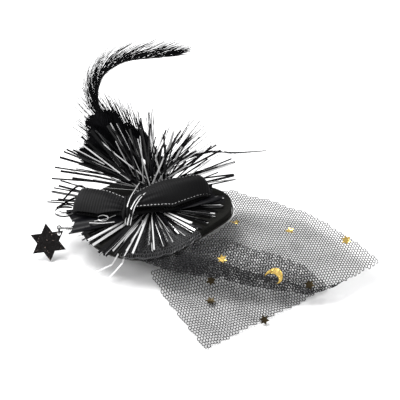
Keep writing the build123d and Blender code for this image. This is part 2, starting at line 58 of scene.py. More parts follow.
# %% Camera
look_at = np.array((18.0, 5.0, 15.0)) * MM
camera_height = math.radians(38)
camera_distance = 406 * MM
bpy.ops.object.camera_add(
    location=look_at + camera_distance * np.array((0, -math.cos(camera_height), math.sin(camera_height))),
    rotation=(math.pi / 2 - camera_height, 0, 0),
)
camera = bpy.context.object
camera.data.lens = 85
camera.data.sensor_width = 36
camera.data.clip_start = 0.01
bpy.context.scene.camera = camera

# %% Floor and soft light
def area_light(name, place, size, watts):
    """A square softbox that points at the middle of the piece."""
    bpy.ops.object.light_add(type="AREA", location=place)
    lamp = bpy.context.object
    lamp.name = name
    lamp.data.size = size
    lamp.data.energy = watts
    lamp.rotation_euler = lamp.location.to_track_quat("Z", "Y").to_euler()
    return lamp


bpy.ops.object.select_all(action="DESELECT")
bpy.ops.mesh.primitive_plane_add(size=6)
floor = bpy.context.object
floor.name = "floor"
paper = bpy.data.materials.new("white_paper")
paper.use_nodes = True
paper.node_tree.nodes["Principled BSDF"].inputs["Base Color"].default_value = (0.93, 0.93, 0.935, 1)
paper.node_tree.nodes["Principled BSDF"].inputs["Roughness"].default_value = 0.9
floor.data.materials.append(paper)

key = area_light("softbox_over", (-0.30, 0.30, 0.75), 0.45, 9)
side = area_light("softbox_left", (-0.6, -0.25, 0.5), 0.25, 2)
world = bpy.data.worlds.new("studio_white")
world.use_nodes = True
world.node_tree.nodes["Background"].inputs["Color"].default_value = (1, 1, 1, 1)
world.node_tree.nodes["Background"].inputs["Strength"].default_value = 0.62
bpy.context.scene.world = world
bpy.context.scene.view_settings.view_transform = "Standard"
print("camera", [round(c, 3) for c in camera.location], "lights", key.name, side.name)

# %% [markdown]
# ## Working by hand, in code
# Blender's operators act on whatever is selected, so each helper first clears the selection.
# The model's nodes sit at the origin in metres, and so does every piece made here: once a piece
# is shaped, its place is in its points. Sizes below are in millimetres.

# %% Selecting and finishing
def pick(piece):
    """Selects this piece alone."""
    bpy.ops.object.select_all(action="DESELECT")
    piece.select_set(True)
    bpy.context.view_layer.objects.active = piece


def new_piece(name):
    """Names the object that an operator has just made."""
    piece = bpy.context.object
    piece.name = name
    piece.data.name = name
    return piece


def choose_faces(piece, test):
    """Selects the faces whose middle, in mm, passes the test, and leaves the piece in edit mode."""
    pick(piece)
    bpy.ops.object.mode_set(mode="EDIT")
    bpy.ops.mesh.select_mode(type="FACE")
    bpy.ops.mesh.select_all(action="DESELECT")
    bpy.ops.object.mode_set(mode="OBJECT")
    middles = np.zeros(len(piece.data.polygons) * 3)
    piece.data.polygons.foreach_get("center", middles)
    chosen = test(middles.reshape(-1, 3) / MM)
    piece.data.polygons.foreach_set("select", chosen)
    bpy.ops.object.mode_set(mode="EDIT")


def read_points(piece):
    """The piece's points in mm, one row each."""
    points = np.zeros(len(piece.data.vertices) * 3)
    piece.data.vertices.foreach_get("co", points)
    return points.reshape(-1, 3) / MM


def write_points(piece, points):
    """Moves the piece's points to these places in mm."""
    piece.data.vertices.foreach_set("co", (np.asarray(points) * MM).ravel())
    piece.data.update()


def use_modifier(piece, kind, **settings):
    """Adds one modifier and applies it."""
    pick(piece)
    modifier = piece.modifiers.new(kind.lower(), kind)
    for setting, value in settings.items():
        setattr(modifier, setting, value)
    bpy.ops.object.modifier_apply(modifier=modifier.name)


def outward(piece):
    """Closes doubled points and turns every face outwards."""
    pick(piece)
    bpy.ops.object.mode_set(mode="EDIT")
    bpy.ops.mesh.select_all(action="SELECT")
    bpy.ops.mesh.remove_doubles(threshold=1e-7)
    bpy.ops.mesh.normals_make_consistent(inside=False)
    bpy.ops.object.mode_set(mode="OBJECT")


def dress(piece, finish, body="base", stands_for=(), smooth=40):
    """Gives a finished piece its material, its smooth shading and the body that it rides on."""
    pick(piece)
    bpy.ops.object.transform_apply(location=True, rotation=True, scale=True)
    if smooth:
        bpy.ops.object.shade_smooth_by_angle(angle=math.radians(smooth))
    piece.data.materials.clear()
    piece.data.materials.append(finish)
    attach(piece, body)
    if stands_for:
        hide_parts(*stands_for)
    piece.data.calc_loop_triangles()
    print(f"{piece.name}: {len(piece.data.loop_triangles)} triangles, rides {body}")


# %% Smooth routes
def smooth_route(points, per_span=10):
    """A smooth line through the given points, as many short steps."""
    points = np.asarray(points, float)
    ends = np.vstack((2 * points[0] - points[1], points, 2 * points[-1] - points[-2]))
    t = np.linspace(0, 1, per_span, endpoint=False)[:, None]
    spans = []
    for a, b, c, d in zip(ends, ends[1:], ends[2:], ends[3:]):
        bend = 2 * a - 5 * b + 4 * c - d
        pull = 3 * b - a - 3 * c + d
        spans.append(0.5 * (2 * b + (c - a) * t + bend * t**2 + pull * t**3))
    return np.vstack(spans + [points[-1:]])


def along_route(route, share):
    """Places and unit directions on a route, at shares of its length from 0 to 1."""
    steps = np.linalg.norm(np.diff(route, axis=0), axis=1)
    reached = np.concatenate(([0], np.cumsum(steps)))
    reached /= reached[-1]
    share = np.clip(share, 0, 1)

    def place(s):
        return np.stack([np.interp(s, reached, route[:, k]) for k in range(3)], axis=1)

    ahead = place(np.clip(share + 0.01, 0, 1)) - place(np.clip(share - 0.01, 0, 1))
    return place(share), ahead / np.linalg.norm(ahead, axis=1, keepdims=True)


def route_length(route):
    """The length of a route in mm."""
    return float(np.linalg.norm(np.diff(route, axis=0), axis=1).sum())


# %% [markdown]
# ## One strand, laid hundreds of times
# Tinsel strips, feather barbs, wire and thread are all the same job: a short closed bar that
# follows a line. Modelling each by hand would take days, and a hair system isn't a mesh that can
# be kept. So one bar is modelled by extruding a little polygon up in steps, and copies of it are
# laid along routes. The bar is kept to a few dozen faces because there are so many copies.

# %% The bar and its copies
def model_bar(sides, rings):
    """A closed bar one unit long with a regular section one unit across: its points and faces."""
    bpy.ops.object.select_all(action="DESELECT")
    bpy.ops.mesh.primitive_circle_add(vertices=sides, radius=0.5, fill_type="NGON")
    bar = new_piece("bar")
    bpy.ops.object.mode_set(mode="EDIT")
    bpy.ops.mesh.select_all(action="SELECT")
    if sides == 4:
        bpy.ops.transform.rotate(value=math.pi / 4, orient_axis="Z", center_override=(0, 0, 0))
        bpy.ops.transform.resize(value=(math.sqrt(2), math.sqrt(2), 1), center_override=(0, 0, 0))
    for _ in range(rings):
        bpy.ops.mesh.extrude_region_move(TRANSFORM_OT_translate={"value": (0, 0, 1 / rings)})
    bpy.ops.mesh.select_all(action="SELECT")
    bpy.ops.mesh.normals_make_consistent(inside=False)
    bpy.ops.object.mode_set(mode="OBJECT")
    points = read_points(bar) * MM
    faces = [tuple(face.vertices) for face in bar.data.polygons]
    bpy.data.objects.remove(bar)
    return {"points": points, "faces": faces, "rings": rings}


flat_bar = model_bar(4, 6)
barb_bar = model_bar(3, 4)
wire_bar = model_bar(6, 24)
print("bars:", len(flat_bar["faces"]), len(barb_bar["faces"]), len(wire_bar["faces"]), "faces")


def strand(points, width, thick, facing=(0, 0, 1), twist=(0, 0), tone=0.5, smooth=True):
    """One strand: the line it follows, its width and thickness along it, and which way it faces."""
    route = smooth_route(points, 6) if smooth and len(points) > 2 else np.asarray(points, float)
    return {"route": route, "width": width, "thick": thick, "facing": facing, "twist": twist, "tone": tone}


def along(values, share):
    """Values spread evenly along a strand, read at these shares of it."""
    values = np.atleast_1d(np.asarray(values, float))
    return np.interp(share, np.linspace(0, 1, len(values)), values) if len(values) > 1 else values[0]


def lay_strands(name, bar, strands):
    """Copies the bar along every strand and joins the copies in one piece."""
    share = np.linspace(0, 1, bar["rings"] + 1)
    ring = np.rint(bar["points"][:, 2] * bar["rings"]).astype(int)
    all_points, all_faces, tones = [], [], []
    for number, s in enumerate(strands):
        places, ahead = along_route(s["route"], share)
        across = np.cross(ahead, np.asarray(s["facing"], float))
        across /= np.linalg.norm(across, axis=1, keepdims=True) + 1e-9
        up = np.cross(across, ahead)
        turn = np.radians(along(s["twist"], share))[:, None]
        turned_across = across * np.cos(turn) + up * np.sin(turn)
        turned_up = up * np.cos(turn) - across * np.sin(turn)
        width = (along(s["width"], share) * np.ones(len(share)))[:, None]
        thick = (along(s["thick"], share) * np.ones(len(share)))[:, None]
        wide = turned_across[ring] * width[ring] * bar["points"][:, :1]
        high = turned_up[ring] * thick[ring] * bar["points"][:, 1:2]
        all_points.append(places[ring] + wide + high)
        first = number * len(bar["points"])
        all_faces += [tuple(i + first for i in face) for face in bar["faces"]]
        tones.append(np.full(len(bar["points"]), s["tone"]))
    mesh = bpy.data.meshes.new(name)
    mesh.from_pydata(np.vstack(all_points) * MM, [], all_faces)
    piece = bpy.data.objects.new(name, mesh)
    bpy.context.scene.collection.objects.link(piece)
    tone = mesh.attributes.new("tone", "FLOAT", "POINT")
    tone.data.foreach_set("value", np.concatenate(tones))
    pick(piece)
    bpy.ops.object.mode_set(mode="EDIT")
    bpy.ops.mesh.select_all(action="SELECT")
    bpy.ops.mesh.normals_make_consistent(inside=False)
    bpy.ops.object.mode_set(mode="OBJECT")
    return piece


# %% [markdown]
# ## Shared effects
# Three effects turn up in many finishes: soft fibres (felt, feather, thread), a fine crinkle
# (foil, plated metal) and glitter. Each is a node group, built once, that gives out masks and
# normals, and each material sets its own scale.

# %% Node group helpers
def new_group(name, inputs, outputs):
    """An empty node group with named sockets: (name, socket kind, default)."""
    group = bpy.data.node_groups.new(name, "ShaderNodeTree")
    for socket, kind, value in inputs:
        made = group.interface.new_socket(socket, in_out="INPUT", socket_type=kind)
        if value is not None:
            made.default_value = value
    for socket, kind in outputs:
        group.interface.new_socket(socket, in_out="OUTPUT", socket_type=kind)
    return group, group.nodes.new("NodeGroupInput"), group.nodes.new("NodeGroupOutput")


def add_node(tree, kind, **settings):
    """A node with some of its settings and socket values."""
    node = tree.nodes.new(kind)
    for setting, value in settings.items():
        if setting in node.inputs:
            node.inputs[setting].default_value = value
        else:
            setattr(node, setting, value)
    return node


FLOAT, VECTOR, COLOUR = "NodeSocketFloat", "NodeSocketVector", "NodeSocketColor"

# %% Soft fibres
fibres, fin, fout = new_group(
    "soft_fibres",
    [("Vector", VECTOR, None), ("Scale", FLOAT, 2500.0), ("Depth", FLOAT, 0.0001)],
    [("Mask", FLOAT), ("Patches", FLOAT), ("Normal", VECTOR)],
)
fibre_noise = add_node(fibres, "ShaderNodeTexNoise", Detail=6.0, Roughness=0.7, Distortion=1.5)
patch_noise = add_node(fibres, "ShaderNodeTexNoise", Scale=160.0, Detail=3.0)
fibre_bump = add_node(fibres, "ShaderNodeBump", Strength=0.8)
fibres.links.new(fin.outputs["Vector"], fibre_noise.inputs["Vector"])
fibres.links.new(fin.outputs["Vector"], patch_noise.inputs["Vector"])
fibres.links.new(fin.outputs["Scale"], fibre_noise.inputs["Scale"])
fibres.links.new(fin.outputs["Depth"], fibre_bump.inputs["Distance"])
fibres.links.new(fibre_noise.outputs["Fac"], fibre_bump.inputs["Height"])
fibres.links.new(fibre_noise.outputs["Fac"], fout.inputs["Mask"])
fibres.links.new(patch_noise.outputs["Fac"], fout.inputs["Patches"])
fibres.links.new(fibre_bump.outputs["Normal"], fout.inputs["Normal"])

# %% Crinkled foil
crinkle, cin, cout = new_group(
    "fine_crinkle",
    [("Vector", VECTOR, None), ("Scale", FLOAT, 400.0), ("Depth", FLOAT, 0.0002)],
    [("Mask", FLOAT), ("Normal", VECTOR)],
)
crinkle_noise = add_node(crinkle, "ShaderNodeTexNoise", Detail=2.0, Roughness=0.5)
crinkle_bump = add_node(crinkle, "ShaderNodeBump", Strength=0.6)
crinkle.links.new(cin.outputs["Vector"], crinkle_noise.inputs["Vector"])
crinkle.links.new(cin.outputs["Scale"], crinkle_noise.inputs["Scale"])
crinkle.links.new(cin.outputs["Depth"], crinkle_bump.inputs["Distance"])
crinkle.links.new(crinkle_noise.outputs["Fac"], crinkle_bump.inputs["Height"])
crinkle.links.new(crinkle_noise.outputs["Fac"], cout.inputs["Mask"])
crinkle.links.new(crinkle_bump.outputs["Normal"], cout.inputs["Normal"])

# %% Glitter
glitter, gin, gout = new_group(
    "glitter_flakes",
    [("Vector", VECTOR, None), ("Scale", FLOAT, 3500.0), ("Rare", FLOAT, 0.93)],
    [("Spark", FLOAT), ("Tint", COLOUR), ("Normal", VECTOR)],
)
flakes = add_node(glitter, "ShaderNodeTexVoronoi")
flake_tilt = add_node(glitter, "ShaderNodeVectorMath", operation="SUBTRACT")
flake_tilt.inputs[1].default_value = (0.5, 0.5, 0.5)
flake_lean = add_node(glitter, "ShaderNodeVectorMath", operation="SCALE", Scale=0.9)
surface = add_node(glitter, "ShaderNodeNewGeometry")
flake_face = add_node(glitter, "ShaderNodeVectorMath", operation="ADD")
flake_unit = add_node(glitter, "ShaderNodeVectorMath", operation="NORMALIZE")
flake_parts = add_node(glitter, "ShaderNodeSeparateColor")
flake_pick = add_node(glitter, "ShaderNodeMath", operation="GREATER_THAN")
glitter.links.new(gin.outputs["Vector"], flakes.inputs["Vector"])
glitter.links.new(gin.outputs["Scale"], flakes.inputs["Scale"])
glitter.links.new(flakes.outputs["Color"], flake_tilt.inputs[0])
glitter.links.new(flake_tilt.outputs["Vector"], flake_lean.inputs[0])
glitter.links.new(surface.outputs["Normal"], flake_face.inputs[0])
glitter.links.new(flake_lean.outputs["Vector"], flake_face.inputs[1])
glitter.links.new(flake_face.outputs["Vector"], flake_unit.inputs[0])
glitter.links.new(flakes.outputs["Color"], flake_parts.inputs["Color"])
glitter.links.new(flake_parts.outputs["Red"], flake_pick.inputs[0])
glitter.links.new(gin.outputs["Rare"], flake_pick.inputs[1])
glitter.links.new(flake_pick.outputs["Value"], gout.inputs["Spark"])
glitter.links.new(flakes.outputs["Color"], gout.inputs["Tint"])
glitter.links.new(flake_unit.outputs["Vector"], gout.inputs["Normal"])
print("node groups:", fibres.name, crinkle.name, glitter.name)

# %% [markdown]
# ## The finishes
# A finish starts from the Principled shader with its constant values on its own sockets. What
# changes over the surface comes from a node group through a mix of two close colours, so no
# surface is one flat colour, and black stays black.

# %% One recipe for a finish
def finish(name, dark, light, effect, mask="Mask", rough=(0.5, 0.6), coords="Object", **constants):
    """A material that mixes two colours and two roughnesses by an effect's mask."""
    material = bpy.data.materials.new(name)
    material.use_nodes = True
    tree = material.node_tree
    shader = tree.nodes["Principled BSDF"]
    where = add_node(tree, "ShaderNodeTexCoord")
    group = add_node(tree, "ShaderNodeGroup", node_tree=effect[0])
    for socket, value in effect[1].items():
        group.inputs[socket].default_value = value
    tree.links.new(where.outputs[coords], group.inputs["Vector"])
    colours = add_node(tree, "ShaderNodeMix", data_type="RGBA")
    colours.inputs[6].default_value = (*dark, 1)
    colours.inputs[7].default_value = (*light, 1)
    tree.links.new(group.outputs[mask], colours.inputs[0])
    tree.links.new(colours.outputs[2], shader.inputs["Base Color"])
    roughs = add_node(tree, "ShaderNodeMapRange")
    roughs.inputs["To Min"].default_value, roughs.inputs["To Max"].default_value = rough
    tree.links.new(group.outputs[mask], roughs.inputs["Value"])
    tree.links.new(roughs.outputs["Result"], shader.inputs["Roughness"])
    tree.links.new(group.outputs["Normal"], shader.inputs["Normal"])
    for socket, value in constants.items():
        shader.inputs[socket.replace("_", " ")].default_value = value
    return material


def tint_by_tone(material, low, high):
    """Multiplies the colour by each strand's own tone, so that neighbours differ."""
    tree = material.node_tree
    shader = tree.nodes["Principled BSDF"]
    mix = next(node for node in tree.nodes if node.type == "MIX")
    tone = add_node(tree, "ShaderNodeAttribute", attribute_name="tone")
    spread = add_node(tree, "ShaderNodeMapRange")
    spread.inputs["To Min"].default_value, spread.inputs["To Max"].default_value = low, high
    multiply = add_node(tree, "ShaderNodeMix", data_type="RGBA", blend_type="MULTIPLY")
    multiply.inputs[0].default_value = 1
    tree.links.new(tone.outputs["Fac"], spread.inputs["Value"])
    tree.links.new(mix.outputs[2], multiply.inputs[6])
    tree.links.new(spread.outputs["Result"], multiply.inputs[7])
    tree.links.new(multiply.outputs[2], shader.inputs["Base Color"])


# %% Cloth, thread and feather
felt = finish(
    "black_wool_felt", (0.002, 0.002, 0.0015), (0.011, 0.011, 0.009),
    (fibres, {"Scale": 1600.0, "Depth": 0.00035}), rough=(0.9, 1.0), Sheen_Weight=0.04, Sheen_Roughness=0.6,
    Specular_IOR_Level=0.1,
)
board = finish(
    "grey_board", (0.16, 0.155, 0.15), (0.27, 0.265, 0.25),
    (fibres, {"Scale": 3000.0, "Depth": 0.00005}), rough=(0.8, 0.95),
)
piping = finish(
    "waxed_piping", (0.010, 0.010, 0.008), (0.045, 0.043, 0.036),
    (fibres, {"Scale": 4000.0, "Depth": 0.00008}), rough=(0.45, 0.7),
)
thread = finish(
    "binding_thread", (0.008, 0.008, 0.009), (0.03, 0.03, 0.032),
    (fibres, {"Scale": 5000.0, "Depth": 0.00005}), rough=(0.5, 0.7),
)
net_thread = finish(
    "net_thread", (0.004, 0.004, 0.005), (0.022, 0.022, 0.024),
    (fibres, {"Scale": 3000.0, "Depth": 0.00002}), rough=(0.35, 0.6), Specular_IOR_Level=0.4,
)
# Painted sheen: the gathered net is the same black thread as the other nets, painted lighter so that its threads glint
# over the dark felt. Its low roughness and strong specular are its real gloss.
glossy_net_painted_sheen = finish(
    "net_thread_painted_sheen", (0.015, 0.015, 0.016), (0.11, 0.11, 0.115),
    (fibres, {"Scale": 1500.0, "Depth": 0.00002}), rough=(0.3, 0.5), Specular_IOR_Level=0.6,
)
feather = finish(
    "black_feather", (0.0012, 0.0012, 0.0016), (0.005, 0.005, 0.0065),
    (fibres, {"Scale": 2200.0, "Depth": 0.00004}), rough=(0.5, 0.75), Specular_IOR_Level=0.10,
)
tint_by_tone(feather, 0.5, 1.5)
shaft = finish(
    "feather_shaft", (0.004, 0.004, 0.005), (0.02, 0.02, 0.022),
    (crinkle, {"Scale": 900.0, "Depth": 0.00003}), rough=(0.3, 0.45),
)
grosgrain = finish(
    "grosgrain_ribbon", (0.0008, 0.0008, 0.0011), (0.0045, 0.0045, 0.0052),
    (fibres, {"Scale": 3600.0, "Depth": 0.00010}), rough=(0.5, 0.7), Sheen_Weight=0.02,
    Specular_IOR_Level=0.15,
)
satin = finish(
    "satin_ribbon", (0.0015, 0.0015, 0.002), (0.006, 0.006, 0.008),
    (crinkle, {"Scale": 260.0, "Depth": 0.00012}), rough=(0.26, 0.40), Anisotropic=0.5,
    Specular_IOR_Level=0.12,
)

# %% Foil, glitter and metal
black_foil = finish(
    "black_foil", (0.0015, 0.0015, 0.002), (0.008, 0.008, 0.009),
    (crinkle, {"Scale": 350.0, "Depth": 0.00030}), rough=(0.10, 0.25), Specular_IOR_Level=0.22,
)
tint_by_tone(black_foil, 0.4, 1.8)
silver_foil = finish(
    "silver_foil", (0.86, 0.86, 0.87), (1.0, 1.0, 1.0),
    (crinkle, {"Scale": 350.0, "Depth": 0.00022}), rough=(0.18, 0.32), Metallic=0.35,
)
tint_by_tone(silver_foil, 0.82, 1.0)
gold_foil = finish(
    "gold_foil", (0.55, 0.33, 0.06), (0.95, 0.72, 0.24),
    (crinkle, {"Scale": 700.0, "Depth": 0.00030}), rough=(0.18, 0.34), Metallic=1.0,
)
# Painted shade: a much darker copy of the gold foil, for the gold stars that look dark.
bronze_foil = finish(
    "bronze_foil", (0.022, 0.016, 0.009), (0.08, 0.06, 0.03),
    (crinkle, {"Scale": 700.0, "Depth": 0.00030}), rough=(0.2, 0.4), Metallic=0.9,
)
dark_glitter = finish(
    "dark_glitter", (0.0025, 0.0015, 0.0015), (0.22, 0.17, 0.15),
    (glitter, {"Scale": 2600.0, "Rare": 0.975}), mask="Spark", rough=(0.6, 0.25), Specular_IOR_Level=0.15,
)
stem_glitter = finish(
    "stem_glitter", (0.006, 0.005, 0.003), (0.34, 0.32, 0.24),
    (glitter, {"Scale": 2500.0, "Rare": 0.80}), mask="Spark", rough=(0.5, 0.2), Metallic=0.5,
)
plated_steel = finish(
    "plated_steel", (0.50, 0.50, 0.51), (0.62, 0.62, 0.63),
    (crinkle, {"Scale": 500.0, "Depth": 0.00004}), rough=(0.18, 0.32), Metallic=1.0,
)
spring_steel = finish(
    "spring_steel", (0.36, 0.36, 0.37), (0.50, 0.50, 0.52),
    (crinkle, {"Scale": 900.0, "Depth": 0.00003}), rough=(0.22, 0.36), Metallic=1.0,
)
dark_metal = finish(
    "dark_metal", (0.05, 0.05, 0.05), (0.12, 0.12, 0.12),
    (crinkle, {"Scale": 900.0, "Depth": 0.00003}), rough=(0.25, 0.4), Metallic=1.0,
)

# %% Finishes for the model's own nodes
for node, material in (
    ("base_board", board), ("clip_upper_arm", plated_steel), ("clip_lower_arm", plated_steel),
    ("clip_pin", plated_steel), ("pendant_star", dark_glitter), ("pendant_ring", dark_metal),
):
    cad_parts[node].data.materials.clear()
    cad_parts[node].data.materials.append(material)
    print("finish", material.name, "on", node)

# %% [markdown]
# ## The felt base
# A fascinator base is a blunt teardrop of board wrapped in felt. The wrap pulls tight over the
# edge, so the cover is a shallow cap with a rounded shoulder, and its wool surface is never quite
# even. A cylinder is cut with rings of inset faces, its rim is moved to the teardrop, then its
# points are lifted a little by noise. The felt under the board is made the same way.

# %% The teardrop: a round end and a narrower tip
low, high = (np.array(corner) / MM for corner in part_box("base_cover"))
cover_bottom, cover_top = low[2], high[2]
backing_low, backing_high = (np.array(corner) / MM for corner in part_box("base_backing"))
ROUND_RADIUS = (high[1] - low[1]) / 2
TIP_RADIUS = 13.0
BASE_LENGTH = 65.0
round_centre = low[:2] + ROUND_RADIUS
tip_centre = round_centre * (TIP_RADIUS - BASE_LENGTH / 2) / (BASE_LENGTH / 2 - ROUND_RADIUS)


def base_edge(heading, grow=0.0):
    """Places on the base's edge, grown outwards by grow mm, and the way out there, by heading."""
    facing = np.linspace(-np.pi, np.pi, 2881)
    away = np.column_stack((np.cos(facing), np.sin(facing)))
    by_round = round_centre + away * (ROUND_RADIUS + grow)
    by_tip = tip_centre + away * (TIP_RADIUS + grow)
    at_tip = np.sum(by_tip * away, axis=1) > np.sum(by_round * away, axis=1)
    edge = np.where(at_tip[:, None], by_tip, by_round)
    headings = np.arctan2(edge[:, 1], edge[:, 0])
    order = np.argsort(headings)
    find = lambda values: np.interp(heading, headings[order], values[order], period=2 * np.pi)
    places = np.column_stack((find(edge[:, 0]), find(edge[:, 1])))
    ways = np.column_stack((find(away[:, 0]), find(away[:, 1])))
    return places, ways / np.linalg.norm(ways, axis=1)[:, None]


def base_reach(heading, grow=0.0):
    """How far the base's edge is from its middle, at a heading."""
    return np.linalg.norm(base_edge(heading, grow)[0], axis=1)


# %% Felt cap and backing
def felt_disc(name, bottom, top, shoulder, lift):
    """A teardrop of felt with rings of faces on both sides, a rounded edge and an uneven surface."""
    bpy.ops.object.select_all(action="DESELECT")
    bpy.ops.mesh.primitive_cylinder_add(
        vertices=160, radius=ROUND_RADIUS * MM, depth=(top - bottom) * MM,
        location=(0, 0, (top + bottom) / 2 * MM),
    )
    piece = new_piece(name)
    bpy.ops.object.transform_apply(location=True, rotation=True, scale=True)
    choose_faces(piece, lambda middle: abs(middle[:, 2] - (top + bottom) / 2) > (top - bottom) * 0.4)
    for _ in range(14):
        bpy.ops.mesh.inset(thickness=ROUND_RADIUS / 15 * MM)
    bpy.ops.object.mode_set(mode="OBJECT")
    points = read_points(piece)
    share = np.hypot(points[:, 0], points[:, 1]) / ROUND_RADIUS
    points[:, :2] = base_edge(np.arctan2(points[:, 1], points[:, 0]))[0] * share[:, None]
    write_points(piece, points)
    use_modifier(piece, "BEVEL", width=shoulder * MM, segments=3, limit_method="ANGLE")
    points = read_points(piece)
    upper = np.clip((points[:, 2] - bottom) / (top - bottom), 0, 1)
    waves = np.sin(points[:, 0] * 0.31 + 1) * np.cos(points[:, 1] * 0.27) + 0.5 * np.sin(points[:, 0] * 0.9)
    points[:, 2] += lift * waves * upper
    write_points(piece, points)
    outward(piece)
    return piece


cover = felt_disc("cover_felt", cover_bottom, cover_top, 0.5, 0.08)
dress(cover, felt, stands_for=["base_cover"])
backing = felt_disc("backing_felt", backing_low[2], backing_high[2], 0.25, 0.0)
dress(backing, felt, stands_for=["base_backing"])

# %% [markdown]
# The rim is finished with a thin twisted cord. A plain ring would read as moulded rubber, so two
# yarns are wound round each other all the way round the base.

# %% Twisted rim piping
def twisted_ring(name, line, z, cord_radius, turns, sections, sides=6):
    """Two yarns twisted round each other; line(heading) gives a closed line and the way out of it."""
    yarns = []
    for yarn in range(2):
        bpy.ops.object.select_all(action="DESELECT")
        bpy.ops.mesh.primitive_torus_add(
            major_segments=sections, minor_segments=sides, major_radius=0.1, minor_radius=0.01
        )
        ring = new_piece(name)
        points = read_points(ring) * MM
        round_it = np.arctan2(points[:, 1], points[:, 0])
        out = (np.hypot(points[:, 0], points[:, 1]) - 0.1) / 0.01
        up = points[:, 2] / 0.01
        wind = turns * round_it + yarn * math.pi
        yarn_radius = cord_radius * 0.55
        off_out = (cord_radius - yarn_radius) * np.cos(wind) + yarn_radius * out
        off_up = (cord_radius - yarn_radius) * np.sin(wind) + yarn_radius * up
        places, ways = line(round_it)
        write_points(ring, np.column_stack((places + ways * off_out[:, None], z + off_up)))
        yarns.append(ring)
    pick(yarns[0])
    yarns[1].select_set(True)
    bpy.ops.object.join()
    return yarns[0]


piping_low, piping_high = (np.array(corner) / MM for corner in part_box("rim_piping"))
piping_radius = (piping_high[2] - piping_low[2]) / 2
rim_grow = (piping_high[1] - piping_low[1]) / 2 - ROUND_RADIUS - piping_radius
rim = twisted_ring(
    "rim_cord", lambda heading: base_edge(heading, rim_grow), (piping_low[2] + piping_high[2]) / 2,
    piping_radius, 150, 1200,
)
dress(rim, piping, stands_for=["rim_piping"])

# %% [markdown]
# ## The clip's spring
# The model's clip keeps its own shape. Its spring is the one part that bends as the jaw opens,
# so it is remade as wire: the coil and the leg against the upper arm stay with the base, and the
# leg against the lower arm turns with the jaw.

# %% Coil and legs
hinge = np.array((-5.0, 0.0, 4.5))
coil_radius, wire_radius, leg_length, coil_half, whole_turns = 1.9, 0.35, 12.0, 2.05, 3


def round_wire(name, routes, radius, bar=wire_bar):
    """Round wire along each route."""
    return lay_strands(name, bar, [strand(r, 2 * radius, 2 * radius, (0.3, 0.2, 1), smooth=False) for r in routes])


upper_room = 8.2 - wire_radius - 0.05 - hinge[2] - coil_radius
lower_room = hinge[2] - coil_radius - 0.8 - wire_radius - 0.05
upper_lean = math.asin(upper_room / leg_length)
lower_lean = math.asin(lower_room / leg_length)
turn = np.linspace(math.pi / 2 - upper_lean, lower_lean - math.pi / 2 - 2 * math.pi * whole_turns, 97)
coil_route = np.stack(
    (
        hinge[0] + coil_radius * np.cos(turn),
        np.linspace(-coil_half, coil_half, len(turn)),
        hinge[2] + coil_radius * np.sin(turn),
    ),
    axis=1,
)
coil_bar = model_bar(6, 96)
coil = round_wire("spring_coil", [coil_route], wire_radius, coil_bar)
dress(coil, spring_steel, stands_for=["clip_spring"])


def leg_from(start, lean):
    """A straight leg towards the handle end, that rises or falls by its lean."""
    return [start, start + leg_length * np.array((-math.cos(lean), 0, math.sin(lean)))]


upper_leg = round_wire("spring_upper_leg", [leg_from(coil_route[0], upper_lean)], wire_radius)
dress(upper_leg, spring_steel)
lower_leg = round_wire("spring_lower_leg", [leg_from(coil_route[-1], -lower_lean)], wire_radius)
dress(lower_leg, spring_steel, body="clip_jaw")

# %% [markdown]
# ## The bow
# The bow is grosgrain ribbon: two loops folded back on themselves and gripped by a wrapped
# knot, with satin tails under them. Ribbon can be simulated, but a bow is held by stitches and
# its shape is known, so each part is a fine grid rolled along its own line. The grid is fine
# enough to carry the cross ribs as real shape.

# %% Rolling a grid into ribbon
RIBBON_THICKNESS = 0.45
RIB_PITCH = 1.15
knot_middle = np.array((-12.0, -4.0))


def ribbon(name, lengthwise, crosswise, place):
    """A grid laid by place(share along, share across from -0.5 to 0.5), then given its thickness."""
    bpy.ops.object.select_all(action="DESELECT")
    bpy.ops.mesh.primitive_grid_add(x_subdivisions=lengthwise, y_subdivisions=crosswise, size=1)
    piece = new_piece(name)
    flat = read_points(piece) * MM
    write_points(piece, place(flat[:, 0] + 0.5, flat[:, 1]))
    use_modifier(piece, "SOLIDIFY", thickness=RIBBON_THICKNESS * MM, offset=0)
    outward(piece)
    return piece


def edge_stitches(name, place, length, edges, pitch=1.5, inset=0.46, first=0.48):
    """A silver thread that shows as short stitches along the edges of a ribbon's upper run."""
    stitches = []
    for edge in edges:
        for start in np.arange(first * length, length - 1, pitch):
            share = np.array((start, start + 0.35, start + 0.7)) / length
            points = place(share, np.full(3, edge * inset))
            stitches.append(strand(points, 0.5, 0.95, (0.2, 0.1, 1), smooth=False, tone=start % 1))
    return lay_strands(name, barb_bar, stitches)


